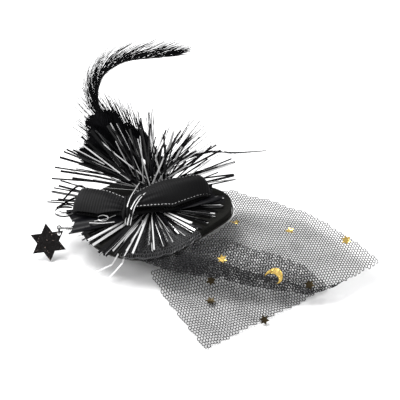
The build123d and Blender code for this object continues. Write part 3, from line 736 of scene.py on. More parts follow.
# %% Loops
def bow_loop(node, heading, length, height, tip_width):
    """Where a point of a bow loop lies: its line out, over and back, its width, folds and ribs."""
    node_low, _ = (np.array(corner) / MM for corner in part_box(node))
    bottom = node_low[2] + 0.3
    turn = math.radians(heading)
    ahead = np.array((math.cos(turn), math.sin(turn), 0))
    left = np.array((-math.sin(turn), math.cos(turn), 0))
    side_line = smooth_route([
        (1.5, 0, bottom + 0.8), (length * 0.3, 0, bottom + 0.2), (length * 0.7, 0, bottom),
        (length - height * 0.35, 0, bottom + 0.1), (length - 0.3, 0, bottom + height * 0.45),
        (length - height * 0.4, 0, bottom + height * 0.93), (length * 0.7, 0, bottom + height),
        (length * 0.4, 0, bottom + height * 0.97), (length * 0.2, 0, bottom + height * 0.82),
        (1.5, 0, bottom + height * 0.62),
    ])

    def place(share, across):
        on_line, direction = along_route(side_line, share)
        out = on_line[:, 0]
        width = np.interp(out, (0, 3, length * 0.5, length), (7.5, 8, 12.4, tip_width))
        upper = np.clip((share - 0.45) * 12, 0, 1)
        pinch = np.clip(1 - out / (length * 0.55), 0, 1) ** 1.5
        folds = 0.55 * pinch * np.cos(across * 26) + 0.15 * np.sin(across * 9 + out * 0.25)
        open_part = upper * np.clip(out / length * 2, 0, 1)
        crown = 0.7 * (1 - 4 * across**2) * open_part
        forward = np.clip(-2 * across * np.sign(left[1]), -0.3, 1) + 0.3
        wrap = open_part * (height - 1.6) * (forward / 1.3) ** 1.6
        ribs = 0.07 * np.cos(2 * np.pi * share * route_length(side_line) / RIB_PITCH)
        normal = np.stack((-direction[:, 2], 0 * out, direction[:, 0]), axis=1)
        lifted = on_line + normal * ((ribs - folds - crown)[:, None])
        shift = across * width
        lifted[:, 2] -= wrap
        flat = lifted[:, :1] * ahead + shift[:, None] * left
        return flat + np.array((*knot_middle, 0)) + lifted[:, 2:3] * np.array((0, 0, 1))

    return place, route_length(side_line)


for name, node, heading, length, height, tip_width, stitched in (
    ("ribbon_loop_left", "bow_loop_left", 168, 23, 4.7, 12.0, (-1,)),
    ("ribbon_loop_right", "bow_loop_right", 23, 36, 7.0, 7.5, (-1, 1)),
):
    place, run = bow_loop(node, heading, length, height, tip_width)
    loop = ribbon(name, int(run / RIB_PITCH * 6), 26, place)
    dress(loop, grosgrain, stands_for=[node])
    stitches = edge_stitches(name + "_stitches", place, run, stitched)
    dress(stitches, silver_foil)
    print(name, "ribbon length", round(run, 1))

# %% [markdown]
# The knot is a short length of the same ribbon wrapped tightly round the loops, so it creases
# along its length. Its line is a rounded rectangle in the side view.

# %% Knot
knot_low, knot_high = (np.array(corner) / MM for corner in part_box("bow_knot"))
knot_centre = (knot_low + knot_high) / 2
knot_half = (knot_high - knot_low) / 2 - RIBBON_THICKNESS / 2


def knot_place(share, across):
    """A wrap round the bow's middle, with creases that run round it."""
    angle = 2 * np.pi * share - np.pi / 2
    squareness = 0.55
    y = np.sign(np.cos(angle)) * abs(np.cos(angle)) ** squareness
    z = np.sign(np.sin(angle)) * abs(np.sin(angle)) ** squareness
    crease = 0.45 * np.cos(across * 21 + 0.6 * np.sin(angle)) - 1.3 * (2 * abs(across)) ** 4 - 0.1
    ribs = 0.06 * np.cos(2 * np.pi * share * 32)
    waist = 1 - 0.18 * np.sin(angle) ** 2
    return np.stack(
        (
            knot_centre[0] + across * 2 * knot_half[0] * waist * 1.05,
            knot_centre[1] + y * (knot_half[1] + crease + ribs - 0.3),
            knot_centre[2] + z * (knot_half[2] + crease + ribs - 0.1),
        ),
        axis=1,
    )


knot = ribbon("ribbon_knot", 260, 40, knot_place)
dress(knot, grosgrain, stands_for=["bow_knot"])

# %% [markdown]
# The tails are satin: smooth, so they are only folded, with a notched end cut to stop fraying.

# %% Tails
def tail_place(start, end, start_width, end_width, z, notch, folds, droop):
    """A flat tail from the knot to a notched end, with soft folds along it."""
    start, end = np.array(start, float), np.array(end, float)
    run = np.linalg.norm(end - start)
    ahead = (end - start) / run
    left = np.array((-ahead[1], ahead[0]))

    def place(share, across):
        reach = share * (run - notch * (1 - 2 * abs(across)))
        width = start_width + (end_width - start_width) * np.sin(share * np.pi / 2)
        flat = start + reach[:, None] * ahead + (across * width)[:, None] * left
        height = z + folds * np.sin(across * 13 + 0.6) * (0.3 + share) - droop * share**2
        return np.column_stack((flat, height))

    return place, run


for name, node, values in (
    ("ribbon_tail_left", "bow_tail_left", ((-14, -5.5), (-37.5, -10.5), 7, 14.5, 15.2, 3.5, 0.45, 0.6)),
    ("ribbon_tail_right", "bow_tail_right", ((1, -1.0), (25.5, 9.5), 7, 11, 15.2, 2.5, 0.35, -0.8)),
):
    place, run = tail_place(*values)
    tail = ribbon(name, 60, 36, place)
    dress(tail, satin, stands_for=[node])

# %% [markdown]
# ## The tinsel
# Tinsel garland is foil strip, cut almost through and twisted round a thread, so that strips
# stand out all round it. Here it is coiled under the bow: two flat tiers spread over the felt
# and the net, and two fans stand up behind the bow. Strips differ in length, width, curl and
# tone, and about a third are silver.

# %% Where tinsel starts and how far it reaches
garland_low, garland_high = (np.array(corner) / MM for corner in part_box("garland_core"))
garland = (garland_low + garland_high) / 2
core_radius = 4.0
FAN_LEAN = math.radians(15)
FAN_ROOT = np.array((-3.0, 13.0))
LAYER_GAP = 1.1
fan_up = np.array((0, math.sin(FAN_LEAN), math.cos(FAN_LEAN)))
fan_front = np.array((0, -math.cos(FAN_LEAN), math.sin(FAN_LEAN)))


def fan_place(layer, x, rise, forward=0.0):
    """A place on a layer of the fan that stands behind the bow: x is the model's own x."""
    root = np.array((0, FAN_ROOT[1] + LAYER_GAP * layer, cover_top))
    return root + np.array((x, 0, 0)) + rise * fan_up + forward * fan_front


def tier_reach(heading):
    """How far a tier strip reaches from the garland's middle, by its heading."""
    return np.interp(heading, (158, 192, 196, 228, 235, 250, 275, 298, 340, 372), (45, 45, 35, 35, 38, 34, 30, 24, 27, 33))


def foil_strip(draw, root, tip, facing, tone, width=(0.8, 1.2), curl=1.4):
    """One foil strip from its root to its tip, a little bowed and turned."""
    root, tip = np.array(root, float), np.array(tip, float)
    run = np.linalg.norm(tip - root)
    sag = draw.normal(0, 0.012 * run * curl, 3)
    middle = root + (tip - root) * draw.uniform(0.4, 0.65) + sag
    wide = draw.uniform(*width)
    turn = draw.uniform(-70, 70)
    return strand(
        [root, middle, tip], [wide, wide, wide * 0.98], 0.09, facing,
        twist=(turn, turn + draw.normal(0, 18)), tone=tone,
    )


# %% Flat tiers
def tier_strips(draw, count, z, width, spread=(158, 372)):
    """Strips that spread over the base from the garland, each with its own reach and droop."""
    strips = []
    for heading in np.linspace(*spread, count) + draw.normal(0, 2.2, count):
        turn = math.radians(heading)
        aim = np.array((math.cos(turn), math.sin(turn)))
        reach = tier_reach(heading) * draw.choice((1.0, 0.97, 0.9, 0.8), p=(0.35, 0.3, 0.2, 0.15))
        root = garland[:2] + aim * core_radius * draw.uniform(0.6, 1.1)
        tip = garland[:2] + aim * reach
        rise = draw.uniform(-0.1, 0.9)
        strips.append(foil_strip(
            draw, (*root, z), (*tip, z + rise), (0, 0, 1), draw.uniform(0, 1), width, curl=0.45,
        ))
    return strips


for tier, (node, z) in enumerate((("tinsel_low_tier", 13.2), ("tinsel_high_tier", 14.0))):
    draw = np.random.default_rng(40 + tier)
    dark = lay_strands(node.replace("tinsel", "tinsel_black"), flat_bar, tier_strips(draw, 44, z, (0.6, 1.15)))
    dress(dark, black_foil, stands_for=[node], smooth=30)
    bright = lay_strands(node.replace("tinsel", "tinsel_silver"), flat_bar, tier_strips(draw, 15, z, (0.45, 1.05), (222, 370)))
    dress(bright, silver_foil, smooth=30)

# %% Standing fans
def fan_strips(draw, layer, count, width, spread=(10, 170)):
    """Strips that stand up behind the bow, shorter in the middle of the fan than at its sides."""
    strips = []
    for heading in np.linspace(*spread, count) + draw.normal(0, 2.5, count):
        turn = math.radians(heading)
        side_reach = 40 if heading < 90 else 44.5
        reach = (side_reach - 12 * math.sin(turn) ** 2) * draw.choice((1.0, 0.93, 0.8, 0.6), p=(0.4, 0.3, 0.2, 0.1))
        root_x = FAN_ROOT[0] + draw.uniform(-5, 6)
        root = fan_place(layer, root_x, draw.uniform(1, 2.5), draw.uniform(0, 4))
        tip = fan_place(layer, FAN_ROOT[0] + reach * math.cos(turn), reach * abs(math.sin(turn)), draw.normal(0, 2.2))
        strips.append(foil_strip(draw, root, tip, fan_front, draw.uniform(0, 1), width))
    return strips


for layer, node in enumerate(("tinsel_fan_front", "tinsel_fan_rear")):
    draw = np.random.default_rng(60 + layer)
    dark = lay_strands(node.replace("tinsel", "tinsel_black"), flat_bar, fan_strips(draw, layer, 38, (0.55, 1.1)))
    dress(dark, black_foil, stands_for=[node], smooth=30)
    bright = lay_strands(node.replace("tinsel", "tinsel_silver"), flat_bar, fan_strips(draw, layer, 17, (0.4, 0.8)))
    dress(bright, silver_foil, smooth=30)

# %% [markdown]
# A few silver strips have come loose: two hang over the edge and touch the floor, and a few
# fall across the knot. One strip has curled into a ring at the left end of the bow.

# %% Loose strips and curls
loose = [
    strand([(-6, -8, 14.2), (-13.5, -22, 13.6), (-16.5, -28.5, 9), (-28.6, -27, 0.5)], 0.7, 0.09, (0, 0, 1), (10, 60), 0.6),
    strand([(-5, -9, 14.0), (-11, -23, 13.5), (-13.5, -29, 9), (-21.2, -31, 0.5)], 0.7, 0.09, (0, 0, 1), (20, 70), 0.8),
    strand([(-12.2, -12, 15), (-10.5, -8, 20.9), (-7.5, -1, 21.9), (-3.4, 4.5, 21.2)], 0.55, 0.09, (0, 0, 1), (0, 40), 0.5),
    strand([(-11.0, -12, 15), (-9.3, -8, 21.0), (-5.5, 0, 22.2), (-0.6, 7, 22.0)], 0.45, 0.09, (0, 0, 1), (30, 0), 0.4),
    strand([(-13.2, -11, 15), (-12.2, -7, 21.2), (-11.2, -2, 21.9), (-8, 9, 21.2)], 0.4, 0.09, (0, 0, 1), (0, 30), 0.3),
]
loose_piece = lay_strands("tinsel_loose_strips", flat_bar, loose)
dress(loose_piece, silver_foil, stands_for=["tinsel_drop_strands"], smooth=30)


def curl_line(centre, radius, first, last, rise):
    """An open ring of foil, given by its first and last angle."""
    angle = np.radians(np.linspace(first, last, 12))
    ring = np.stack((radius * np.cos(angle), radius * 0.8 * np.sin(angle), np.linspace(0, rise, 12)), axis=1)
    return np.array(centre) + ring


long_flat_bar = model_bar(4, 24)
curls = lay_strands("tinsel_curls", long_flat_bar, [
    strand(curl_line((-39, -2.5, 14.2), 4.6, 60, 330, 1.0), 0.9, 0.09, (0.2, -0.2, 1), (80, 95), 0.4),
    strand(curl_line((-38.4, -1.5, 15.0), 3.8, 40, 300, 0.8), 0.8, 0.09, (0.1, -0.3, 1), (70, 90), 0.7),
    strand([(-33, 7, 14.6), (-36, 5.5, 15.6), (-38.5, 2.5, 16.2), (-43, -0.5, 15)], 0.9, 0.09, (0, 0, 1), (60, 80), 0.2),
    strand([(-30, 12, 14.4), (-35, 11.5, 17.5), (-41, 4, 15.5)], 0.9, 0.09, (0, 0, 1), (50, 80), 0.3),
])
dress(curls, black_foil, smooth=30)
small_curls = lay_strands("tinsel_small_curls", long_flat_bar, [
    strand(curl_line((-22.4, -9.5, 16.4), 2.1, 200, 520, 0.6), 0.7, 0.09, (0.3, -0.3, 1), (70, 100), 1.0),
    strand([(-28, -11.5, 15.9), (-23, -11.9, 16.0), (-17.5, -11.2, 16.1)], 0.6, 0.09, (0, 0, 1), (10, 20), 0.6),
    strand([(-26, -10.6, 16.0), (-21, -9.4, 16.4), (-17.2, -7.6, 16.8)], 0.35, 0.09, (0, 0, 1), (10, 60), 0.6),
])
dress(small_curls, silver_foil, smooth=30)

# %% Garland core and quill binding
core_wire = (garland_high[2] - garland_low[2]) / 2


def core_line(heading):
    """The garland's core: a circle round its middle, and the way out of it."""
    away = np.column_stack((np.cos(heading), np.sin(heading)))
    return garland[:2] + away * core_radius, away


core = twisted_ring("garland_thread", core_line, garland[2], core_wire, 40, 320)
dress(core, thread, stands_for=["garland_core"])

binding_low, binding_high = (np.array(corner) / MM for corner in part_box("quill_binding"))
binding_middle = (binding_low + binding_high) / 2
binding_radius = (binding_high[2] - binding_low[2]) / 2
thread_radius = 0.22
wraps = int((binding_high[1] - binding_low[1]) / (2 * thread_radius))
wind = np.linspace(0, 2 * np.pi * wraps, wraps * 16 + 1)
wound = np.stack(
    (
        binding_middle[0] + (binding_radius - thread_radius) * np.cos(wind),
        np.linspace(binding_low[1] + 0.3, binding_high[1] - 0.3, len(wind)),
        binding_middle[2] + (binding_radius - thread_radius) * np.sin(wind),
    ),
    axis=1,
)
binding = round_wire("binding_thread", [wound], thread_radius, model_bar(5, wraps * 16))
dress(binding, thread, stands_for=["quill_binding"])

# %% [markdown]
# ## The feathers
# A feather is a shaft with hundreds of barbs that lean towards its tip. Cards with a painted
# outline would be quicker, but their edges look cut out, and these feathers show split and
# frayed barbs against the light. So each feather is a shaft and two rows of barbs, laid with the
# same bar as the tinsel.

# %% One feather
def feather_strands(draw, line, facing, half_width, lean, spacing, barb_width, start=0.06, sides=(-1, 1),
                    fray=0.12, curve=0.25, shaft_width=0.5, ragged=0.03):
    """The strands of a feather: line is its shaft, half_width(share) how far barbs stand out."""
    line = smooth_route(line)
    run = route_length(line)
    facing = np.array(facing, float)
    shares = np.arange(start, 1, spacing / run)
    places, ahead = along_route(line, shares)
    strands = [strand(line, [shaft_width, shaft_width * 0.8, shaft_width * 0.25], shaft_width * 0.6, facing, smooth=False, tone=0.2)]
    for side in sides:
        clump = draw.normal(0, 1, len(shares) // 5 + 2)
        for number, (share, place, direction) in enumerate(zip(shares, places, ahead)):
            out = np.cross(facing, direction) * side
            out /= np.linalg.norm(out)
            angle = math.radians(lean(share) if callable(lean) else lean)
            angle *= 1 + ragged * (clump[number // 5] + draw.normal(0, 1))
            length = half_width(share) / max(math.sin(angle), 0.12) * (1 - draw.uniform(0, fray))
            if length < 0.6:
                continue
            aim = direction * math.cos(angle) + out * math.sin(angle)
            bend = direction * length * curve
            lift = facing * draw.normal(0, 0.12)
            points = [
                place, place + aim * length * 0.5 + bend * 0.12 + lift,
                place + aim * length * (1 - curve * 0.4) + bend * 0.6 + lift * 2,
            ]
            strands.append(strand(
                points, [barb_width, barb_width * 0.8, barb_width * 0.25], barb_width * 0.35, facing,
                twist=(0, draw.normal(0, 12)), tone=draw.uniform(0, 1),
            ))
    return strands


def fan_line(layer, heading, reach, bow, root_x):
    """A feather's line in a fan layer: straight out at its heading from its root, bowed to one side."""
    turn = math.radians(heading)
    ahead = np.array((math.cos(turn), math.sin(turn)))
    side = np.array((-math.sin(turn), math.cos(turn)))
    places = []
    for share in (0.06, 0.35, 0.7, 1.0):
        x, rise = np.array((root_x, 0)) + ahead * reach * share + side * bow * 4 * share * (1 - share)
        places.append(fan_place(layer, x, max(rise, 0.6)))
    return places


def blunt(width, fullest=0.6):
    """Half the width of a feather that is broad and round at its tip."""
    def half(share):
        if share < fullest:
            return width / 2 * (share / fullest) ** 0.5
        return width / 2 * math.sqrt(max(0, 1 - ((share - fullest) / (1 - fullest)) ** 2))
    return half


def round_tip_lean(share):
    """Barbs lie close to the shaft low down and stand out more towards a round tip."""
    return float(np.interp(share, (0, 0.6, 1), (17, 27, 50)))


# %% Broad feathers
broad = {
    "feather_pad_low": [(2, 150, 36, 8.5, 0.8, -3), (2.4, 147, 35, 8, -0.2, -3)],
    "feather_pad_left": [(3, 139, 35, 11, 1.0, -3), (3.4, 134, 37, 10, 0.5, -3)],
    "feather_pad_tall": [(4, 126, 41, 13, 0.8, -3), (4.4, 123, 39, 12, -0.4, -2)],
    "feather_pad_right": [(5, 126, 34, 9, -0.8, 4), (5.3, 124, 30, 8, -1.0, 6)],
}
for number, (node, feathers) in enumerate(broad.items()):
    draw = np.random.default_rng(100 + number)
    strands = []
    for layer, heading, reach, width, bow, root_x in feathers:
        line = fan_line(layer, heading, reach, bow, root_x)
        strands += feather_strands(
            draw, line, fan_front, blunt(width), round_tip_lean, 0.30, 0.55, fray=0.04, ragged=0.008,
        )
        strands += feather_strands(
            draw, line, fan_front, blunt(width * 1.2), 13, 4.0, 0.18, fray=0.4, start=0.35,
        )
    pad = lay_strands(node.replace("feather_pad", "broad_feather"), barb_bar, strands)
    dress(pad, feather, stands_for=[node], smooth=60)

# %% [markdown]
# The long plume is a stripped cock feather: its shaft curls over, and its barbs stand only on
# the outside of the curl, longest on the shoulder, where they split in two tufts.

# %% Plume
plume_line = [fan_place(7, x, rise) for x, rise in
              ((-5, 6), (-13, 17), (-20.5, 26.5), (-25.2, 34.6), (-25.7, 42), (-23.8, 47.8), (-20, 51.6), (-14.5, 54.6),
               (-7, 56.1), (2, 56.8), (11, 58))]
draw = np.random.default_rng(120)
plume_path = smooth_route(plume_line)
plume_run = route_length(plume_path)


def plume_barbs(draw, shares, side, reach, stand_out, follow, width):
    """Barbs that run along the plume's curl: reach is their length, stand_out how far they leave it."""
    strands = []
    for share in shares:
        length = float(reach(share)) * draw.uniform(0.8, 1.05)
        out_by = float(stand_out(share)) * draw.uniform(0.15, 1.0)
        steps = np.linspace(0, 1, 6)
        on_shaft, ahead = along_route(plume_path, share + steps * length / plume_run * follow)
        past = np.clip(share + steps * length / plume_run * follow - 1, 0, None) * plume_run
        straight = on_shaft[0] + ahead[0] * (steps * length)[:, None]
        curled = on_shaft + ahead * (steps * length * (1 - follow) + past)[:, None]
        out = np.cross(fan_front, ahead) * side
        bowed = 0.12 * straight + 0.88 * curled
        points = bowed + out * (out_by * steps**0.8)[:, None] + fan_front * draw.normal(0, 0.25)
        strands.append(strand(
            points, [width, width * 0.9, width * 0.3], width * 0.5, fan_front, tone=draw.uniform(0, 1),
        ))
    return strands


plume_reach = lambda share: np.interp(share, (0.3, 0.6, 0.75, 0.9, 1.0), (17, 20, 20, 12, 5))
plume_out = lambda share: np.interp(share, (0.3, 0.45, 0.6, 0.75, 0.9, 1.0), (7.0, 8.5, 9.0, 8.0, 5.0, 2.4))
plume = plume_barbs(draw, np.linspace(0.28**0.6, 0.98**0.6, 380) ** (1 / 0.6), 1, plume_reach, plume_out, 0.95, 0.20)
inner_out = lambda share: np.interp(share, (0.3, 0.45, 1.0), (2.0, 1.0, 0.6))
plume += plume_barbs(draw, np.linspace(0.36, 0.95, 60), -1, lambda share: 8.0, inner_out, 1.0, 0.16)
plume_piece = lay_strands("plume_barbs", barb_bar, plume)
dress(plume_piece, feather, stands_for=["plume_vane"], smooth=60)
plume_shaft = lay_strands("plume_rachis", wire_bar, [
    strand(plume_path, [0.8, 0.75, 0.5, 0.2], 0.5, fan_front, smooth=False),
])
dress(plume_shaft, shaft, stands_for=["plume_shaft"])

# %% Hackles and herl
def wisps(draw, layer, rays, hairs, spread):
    """Fine hairs in small bunches: each ray is a heading, where it starts and where it ends."""
    strands = []
    for heading, start, end in rays:
        for _ in range(hairs):
            turn = math.radians(heading + draw.normal(0, spread))
            reach = end * draw.uniform(0.85, 1.0)
            points = []
            for share in (0, 0.5, 1):
                out = start + (reach - start) * share
                bow = draw.normal(0, 0.5) * share
                x = FAN_ROOT[0] + out * math.cos(turn) - bow * math.sin(turn)
                points.append(fan_place(layer, x, out * math.sin(turn) + bow * math.cos(turn), draw.normal(0, 0.6) * share))
            strands.append(strand(points, [0.34, 0.26, 0.12], 0.16, fan_front, tone=draw.uniform(0, 1)))
    return strands


left_rays = [(138, 26, 50), (133, 28, 53), (128, 28, 56), (123, 30, 54), (141, 22, 46), (119, 30, 50)]
right_rays = [(88, 8, 37), (73, 8, 33), (60, 8, 34), (52, 8, 37), (45, 8, 37), (38, 8, 39), (30, 8, 39), (56, 20, 38), (48, 20, 39)]
middle_rays = [(117, 32, 47), (113, 31, 46), (109, 29, 43), (105, 27, 40), (101, 25, 36), (91, 20, 37)]
left_wisps = wisps(np.random.default_rng(130), 8, left_rays, 9, 2.2)
left_wisps += wisps(np.random.default_rng(133), 6, middle_rays, 13, 1.5)
hackle_left = lay_strands("hackle_wisps_left", barb_bar, left_wisps)
dress(hackle_left, feather, stands_for=["hackle_left"], smooth=60)
hackle_right = lay_strands("hackle_wisps_right", barb_bar, wisps(np.random.default_rng(131), 9, right_rays, 4, 3.0))
dress(hackle_right, feather, stands_for=["hackle_right"], smooth=60)

herl_line = [fan_place(10, x, rise) for x, rise in
             ((0.8, 3.0), (7.3, 7.5), (15.9, 10.8), (22.3, 12.3), (27.7, 12.2), (33, 11.8), (39.5, 12.2), (47, 12.8))]
herl = feather_strands(
    np.random.default_rng(140), herl_line, fan_front, lambda share: 1.1 * (1 - share) + 0.3, 20, 0.45, 0.22,
    fray=0.5, shaft_width=1.1,
)
herl_piece = lay_strands("herl", barb_bar, herl)
dress(herl_piece, feather, stands_for=["feather_herl"], smooth=60)

# %% [markdown]
# ## The net
# Veiling is a hexagon net of black thread, cut with no hem. A see-through picture of a net would
# be flat and would show no thread at its folds, so the net is real: one hexagon is copied in
# rows, the sheet is cut to its flat outline, bent to the way it lies, and each side of a cell
# becomes thread. The sheet is cut larger than it lies where its front edge is folded under.

# %% A flat sheet of net
NET_THREAD = 0.39
CELL_STRETCH = 1.35


def flat_net(name, wide, deep, centre, turn=0.0, pitch=1.16):
    """A rectangle of hexagon cells, wide by deep in mm, round a centre."""
    side = pitch / math.sqrt(3)
    bpy.ops.object.select_all(action="DESELECT")
    bpy.ops.mesh.primitive_circle_add(vertices=6, radius=side * MM, fill_type="NGON")
    net = new_piece(name)
    bpy.ops.object.mode_set(mode="EDIT")
    bpy.ops.mesh.select_all(action="SELECT")
    bpy.ops.mesh.duplicate_move(
        TRANSFORM_OT_translate={"value": (pitch / 2 * MM, 1.5 * side * MM, 0)}
    )
    bpy.ops.object.mode_set(mode="OBJECT")
    columns, rows = int(wide / pitch), int(deep / (3 * side * CELL_STRETCH))
    for count, step in ((columns, (pitch * MM, 0, 0)), (rows, (0, 3 * side * MM, 0))):
        use_modifier(
            net, "ARRAY", count=count, use_relative_offset=False, use_constant_offset=True,
            constant_offset_displace=step,
        )
    bpy.ops.object.mode_set(mode="EDIT")
    bpy.ops.mesh.select_all(action="SELECT")
    bpy.ops.mesh.remove_doubles(threshold=side * 0.1 * MM)
    bpy.ops.object.mode_set(mode="OBJECT")
    points = read_points(net)
    points -= (points.max(axis=0) + points.min(axis=0)) / 2
    points[:, 1] *= CELL_STRETCH
    c, s = math.cos(math.radians(turn)), math.sin(math.radians(turn))
    turned = np.column_stack((points[:, 0] * c - points[:, 1] * s, points[:, 0] * s + points[:, 1] * c, points[:, 2]))
    write_points(net, turned + np.array((*centre, 0)))
    return net


def inside(points, outline):
    """Which points lie inside a closed outline, by counting the edges to their right."""
    x, y = points[:, 0], points[:, 1]
    crossings = np.zeros(len(x), int)
    for (x0, y0), (x1, y1) in zip(outline, outline[1:] + outline[:1]):
        spans = (y0 > y) != (y1 > y)
        crossings += spans & (x < x0 + (y - y0) * (x1 - x0) / (y1 - y0 + 1e-12))
    return crossings % 2 == 1


def cut_net(net, keep):
    """Deletes the cells whose middle isn't kept, and returns the flat area and size that are left."""
    choose_faces(net, lambda middles: ~keep(middles))
    bpy.ops.mesh.delete(type="FACE")
    bpy.ops.object.mode_set(mode="OBJECT")
    area = sum(face.area for face in net.data.polygons)
    points = read_points(net)
    size = (points.max(axis=0) - points.min(axis=0))[:2] * MM
    print(f"{net.name}: {len(net.data.polygons)} cells, {area * 1e6:.0f} mm2 cut from {size / MM} mm")
    return area, tuple(float(s) for s in size)


def knit(net):
    """Turns the sides of the cells to thread."""
    use_modifier(net, "WIREFRAME", thickness=NET_THREAD * MM, use_even_offset=False, use_boundary=True)


# %% Lower net: one layer that lies on the table
def outside_base(points, room=1.25):
    """Which points lie outside the base, with some room."""
    return np.hypot(points[:, 0], points[:, 1]) > base_reach(np.arctan2(points[:, 1], points[:, 0]), room)


def lower_height(y):
    """How high the lower net lies: it hangs from the base's edge to the table."""
    return np.interp(y, (-72, -40, -27, -13), (0.3, 0.5, 4.3, 8.4))


lower_outline = [(-9, -14), (-8, -19), (20, -68), (69, -35), (60, -26), (30, -14)]
lower = flat_net("net_lower", 106, 84, (29, -40), turn=15)
lower_area, lower_size = cut_net(
    lower, lambda middles: inside(middles, lower_outline) & outside_base(middles)
)
points = read_points(lower)
ripples = 0.35 * np.sin(points[:, 0] * 0.33 + points[:, 1] * 0.18) + 0.25 * np.sin(points[:, 0] * 0.12 - points[:, 1] * 0.4)
points[:, 2] = lower_height(points[:, 1]) + np.clip(ripples + 0.3, 0, 1)
write_points(lower, points)
knit(lower)
dress(lower, net_thread, stands_for=["veil_bottom_layer"], smooth=0)

# %% [markdown]
# The upper net leaves the base and spreads to the right. Its front edge is a fold: the cut goes
# on past the fold, under and forward again, which is why the front of the net looks dark.

# %% Upper net with its folded front edge
fold_x = (-12, -4, 3, 18, 34, 50, 62, 72, 81, 91)
fold_y = (-26, -30.5, -33.5, -36.5, -40, -42, -43, -40, -33, -26.5)
first_fold = (8, 11, 13, 12, 9.5, 7, 5, 2, 0, 0)
second_fold = (6, 9, 11, 9.5, 6, 0, 0, 0, 0, 0)
back_x = (-12, 0, 22, 33, 49, 62, 73, 82, 91)
back_y = (0, 0, 17, 19, 14.5, 10, -2, -14, -27)


def front_fold(x):
    """The fold along the front of the upper net."""
    return np.interp(x, fold_x, fold_y)


def fold_depth(x, depths):
    """How deep the turned net is, along the fold."""
    return np.interp(x, fold_x, depths)


upper = flat_net("net_upper", 108, 98, (39, -18), pitch=1.14)
upper_area, upper_size = cut_net(upper, lambda middles: (
    (middles[:, 1] > front_fold(middles[:, 0]) - fold_depth(middles[:, 0], first_fold)
     - fold_depth(middles[:, 0], second_fold))
    & (middles[:, 1] < np.interp(middles[:, 0], back_x, back_y))
    & (middles[:, 0] > -12) & (middles[:, 0] < 90.5)
    & outside_base(middles, 1.6)
))
points = read_points(upper)
x, y = points[:, 0].copy(), points[:, 1].copy()
past = front_fold(x) - y
band = fold_depth(x, first_fold)
under = np.clip(past, 0, None)
turned_back = np.where(under < band, under, 2 * band - under)
y = np.where(past > 0, front_fold(x) + turned_back * 0.96, y)
layer_drop = 0.55 * np.clip(under / 0.8, 0, 1) + 0.55 * np.clip((under - band) / 0.8 + 0.5, 0, 1) * (past > 0)
waves = 0.30 * np.sin(x * 0.26 + np.sin(y * 0.15) * 1.5) + 0.2 * np.sin(y * 0.42 + x * 0.1)
lift = np.interp(x, (-15, 30, 60, 92), (11.6, 9.4, 5.4, 8.8))
front_sag = 0.8 * np.clip((front_fold(x) + 14 - y) / 14, 0, 1) ** 2 * np.interp(x, (-10, 10, 60, 75), (0, 1, 1, 0))
points = np.column_stack((x, y, lift + waves - layer_drop - front_sag))
write_points(upper, points)
knit(upper)
dress(upper, net_thread, stands_for=["veil_top_layer"], smooth=0)

# %% [markdown]
# Where the net is caught under the garland it is drawn up over the front of the base. The same
# flat net is bent round the edge in two layers with close pleats, so it looks almost solid. Its
# thread is painted lighter than the rest of the net: painted sheen.

# %% Net gathered over the base
gather_wide, layer_deep, layers = 29.0, 15.0, 2
gathered = flat_net("net_gathered", gather_wide + 3, layer_deep * layers + 5, (0, 0))
gather_area, gather_size = cut_net(gathered, lambda middles: (
    (abs(middles[:, 0]) < gather_wide / 2) & (abs(middles[:, 1]) < layer_deep * layers / 2)
))
points = read_points(gathered)
sweep = np.radians(-79 + points[:, 0] / gather_wide * 74)
depth = np.clip(points[:, 1] + layer_deep * layers / 2, 0, layer_deep * layers)
layer = np.clip(depth // layer_deep, 0, layers - 1)
in_layer = depth / layer_deep - layer
taper = np.interp(points[:, 0] / gather_wide, (0.1, 0.5), (1, 0.7))
reach = 1.07 - 0.62 * taper * np.where(layer % 2 == 0, in_layer, 1 - in_layer)
pleats = np.sin(points[:, 0] * 1.5 + layer + 1.2 * np.sin(points[:, 1] * 0.35)) + 0.5 * np.sin(points[:, 0] * 0.83)
over_edge = np.clip((reach - 0.99) / 0.09, 0, 1)
flat_height = cover_top + 0.35 + 0.3 * layer + 0.16 * pleats
along_edge, way_out = base_edge(sweep)
points = np.column_stack((
    along_edge * reach[:, None] + way_out * (0.25 * pleats)[:, None],
    flat_height - over_edge * (1.6 + 0.3 * pleats),
))
write_points(gathered, points)
knit(gathered)
# The lighter thread colour of this net is painted sheen.
dress(gathered, glossy_net_painted_sheen, stands_for=["veil_gather"], smooth=0)

# %% [markdown]
# ## Foil stars and moon
# The net is flecked with foil shapes, glued on flat and since bent. One star is modelled from a
# circle whose points are pushed in and out, and copied; the moon is a disc with a bite out of it.

# %% Model one star and one moon
FOIL = 0.12


def foil_shape(name, outline, edge):
    """A thin foil shape from its outline in mm, with a ring of faces inside its edge."""
    bpy.ops.object.select_all(action="DESELECT")
    bpy.ops.mesh.primitive_circle_add(vertices=len(outline), radius=MM, fill_type="NGON")
    shape = new_piece(name)
    write_points(shape, np.column_stack((outline, np.zeros(len(outline)))))
    pick(shape)
    bpy.ops.object.mode_set(mode="EDIT")
    bpy.ops.mesh.select_all(action="SELECT")
    bpy.ops.mesh.inset(thickness=edge * MM)
    bpy.ops.object.mode_set(mode="OBJECT")
    return shape


def star_outline(tips, outer, inner):
    """A star's outline: tips and notches by turns."""
    angle = np.radians(np.arange(2 * tips) * 180 / tips + 90)
    size = np.where(np.arange(2 * tips) % 2 == 0, outer, inner)
    return np.column_stack((size * np.cos(angle), size * np.sin(angle)))


star_pattern = foil_shape("star_pattern", star_outline(6, 2.2, 1.2), 0.3)
outer_arc = np.radians(np.linspace(55, 305, 13))
inner_arc = outer_arc[::-1][1:-1]
moon_pattern = foil_shape("moon_pattern", np.vstack((
    np.column_stack((3.6 * np.cos(outer_arc), 3.6 * np.sin(outer_arc))),
    np.column_stack((1.4 + 2.75 * np.cos(inner_arc), 2.95 * np.sin(inner_arc))),
)), 0.02)


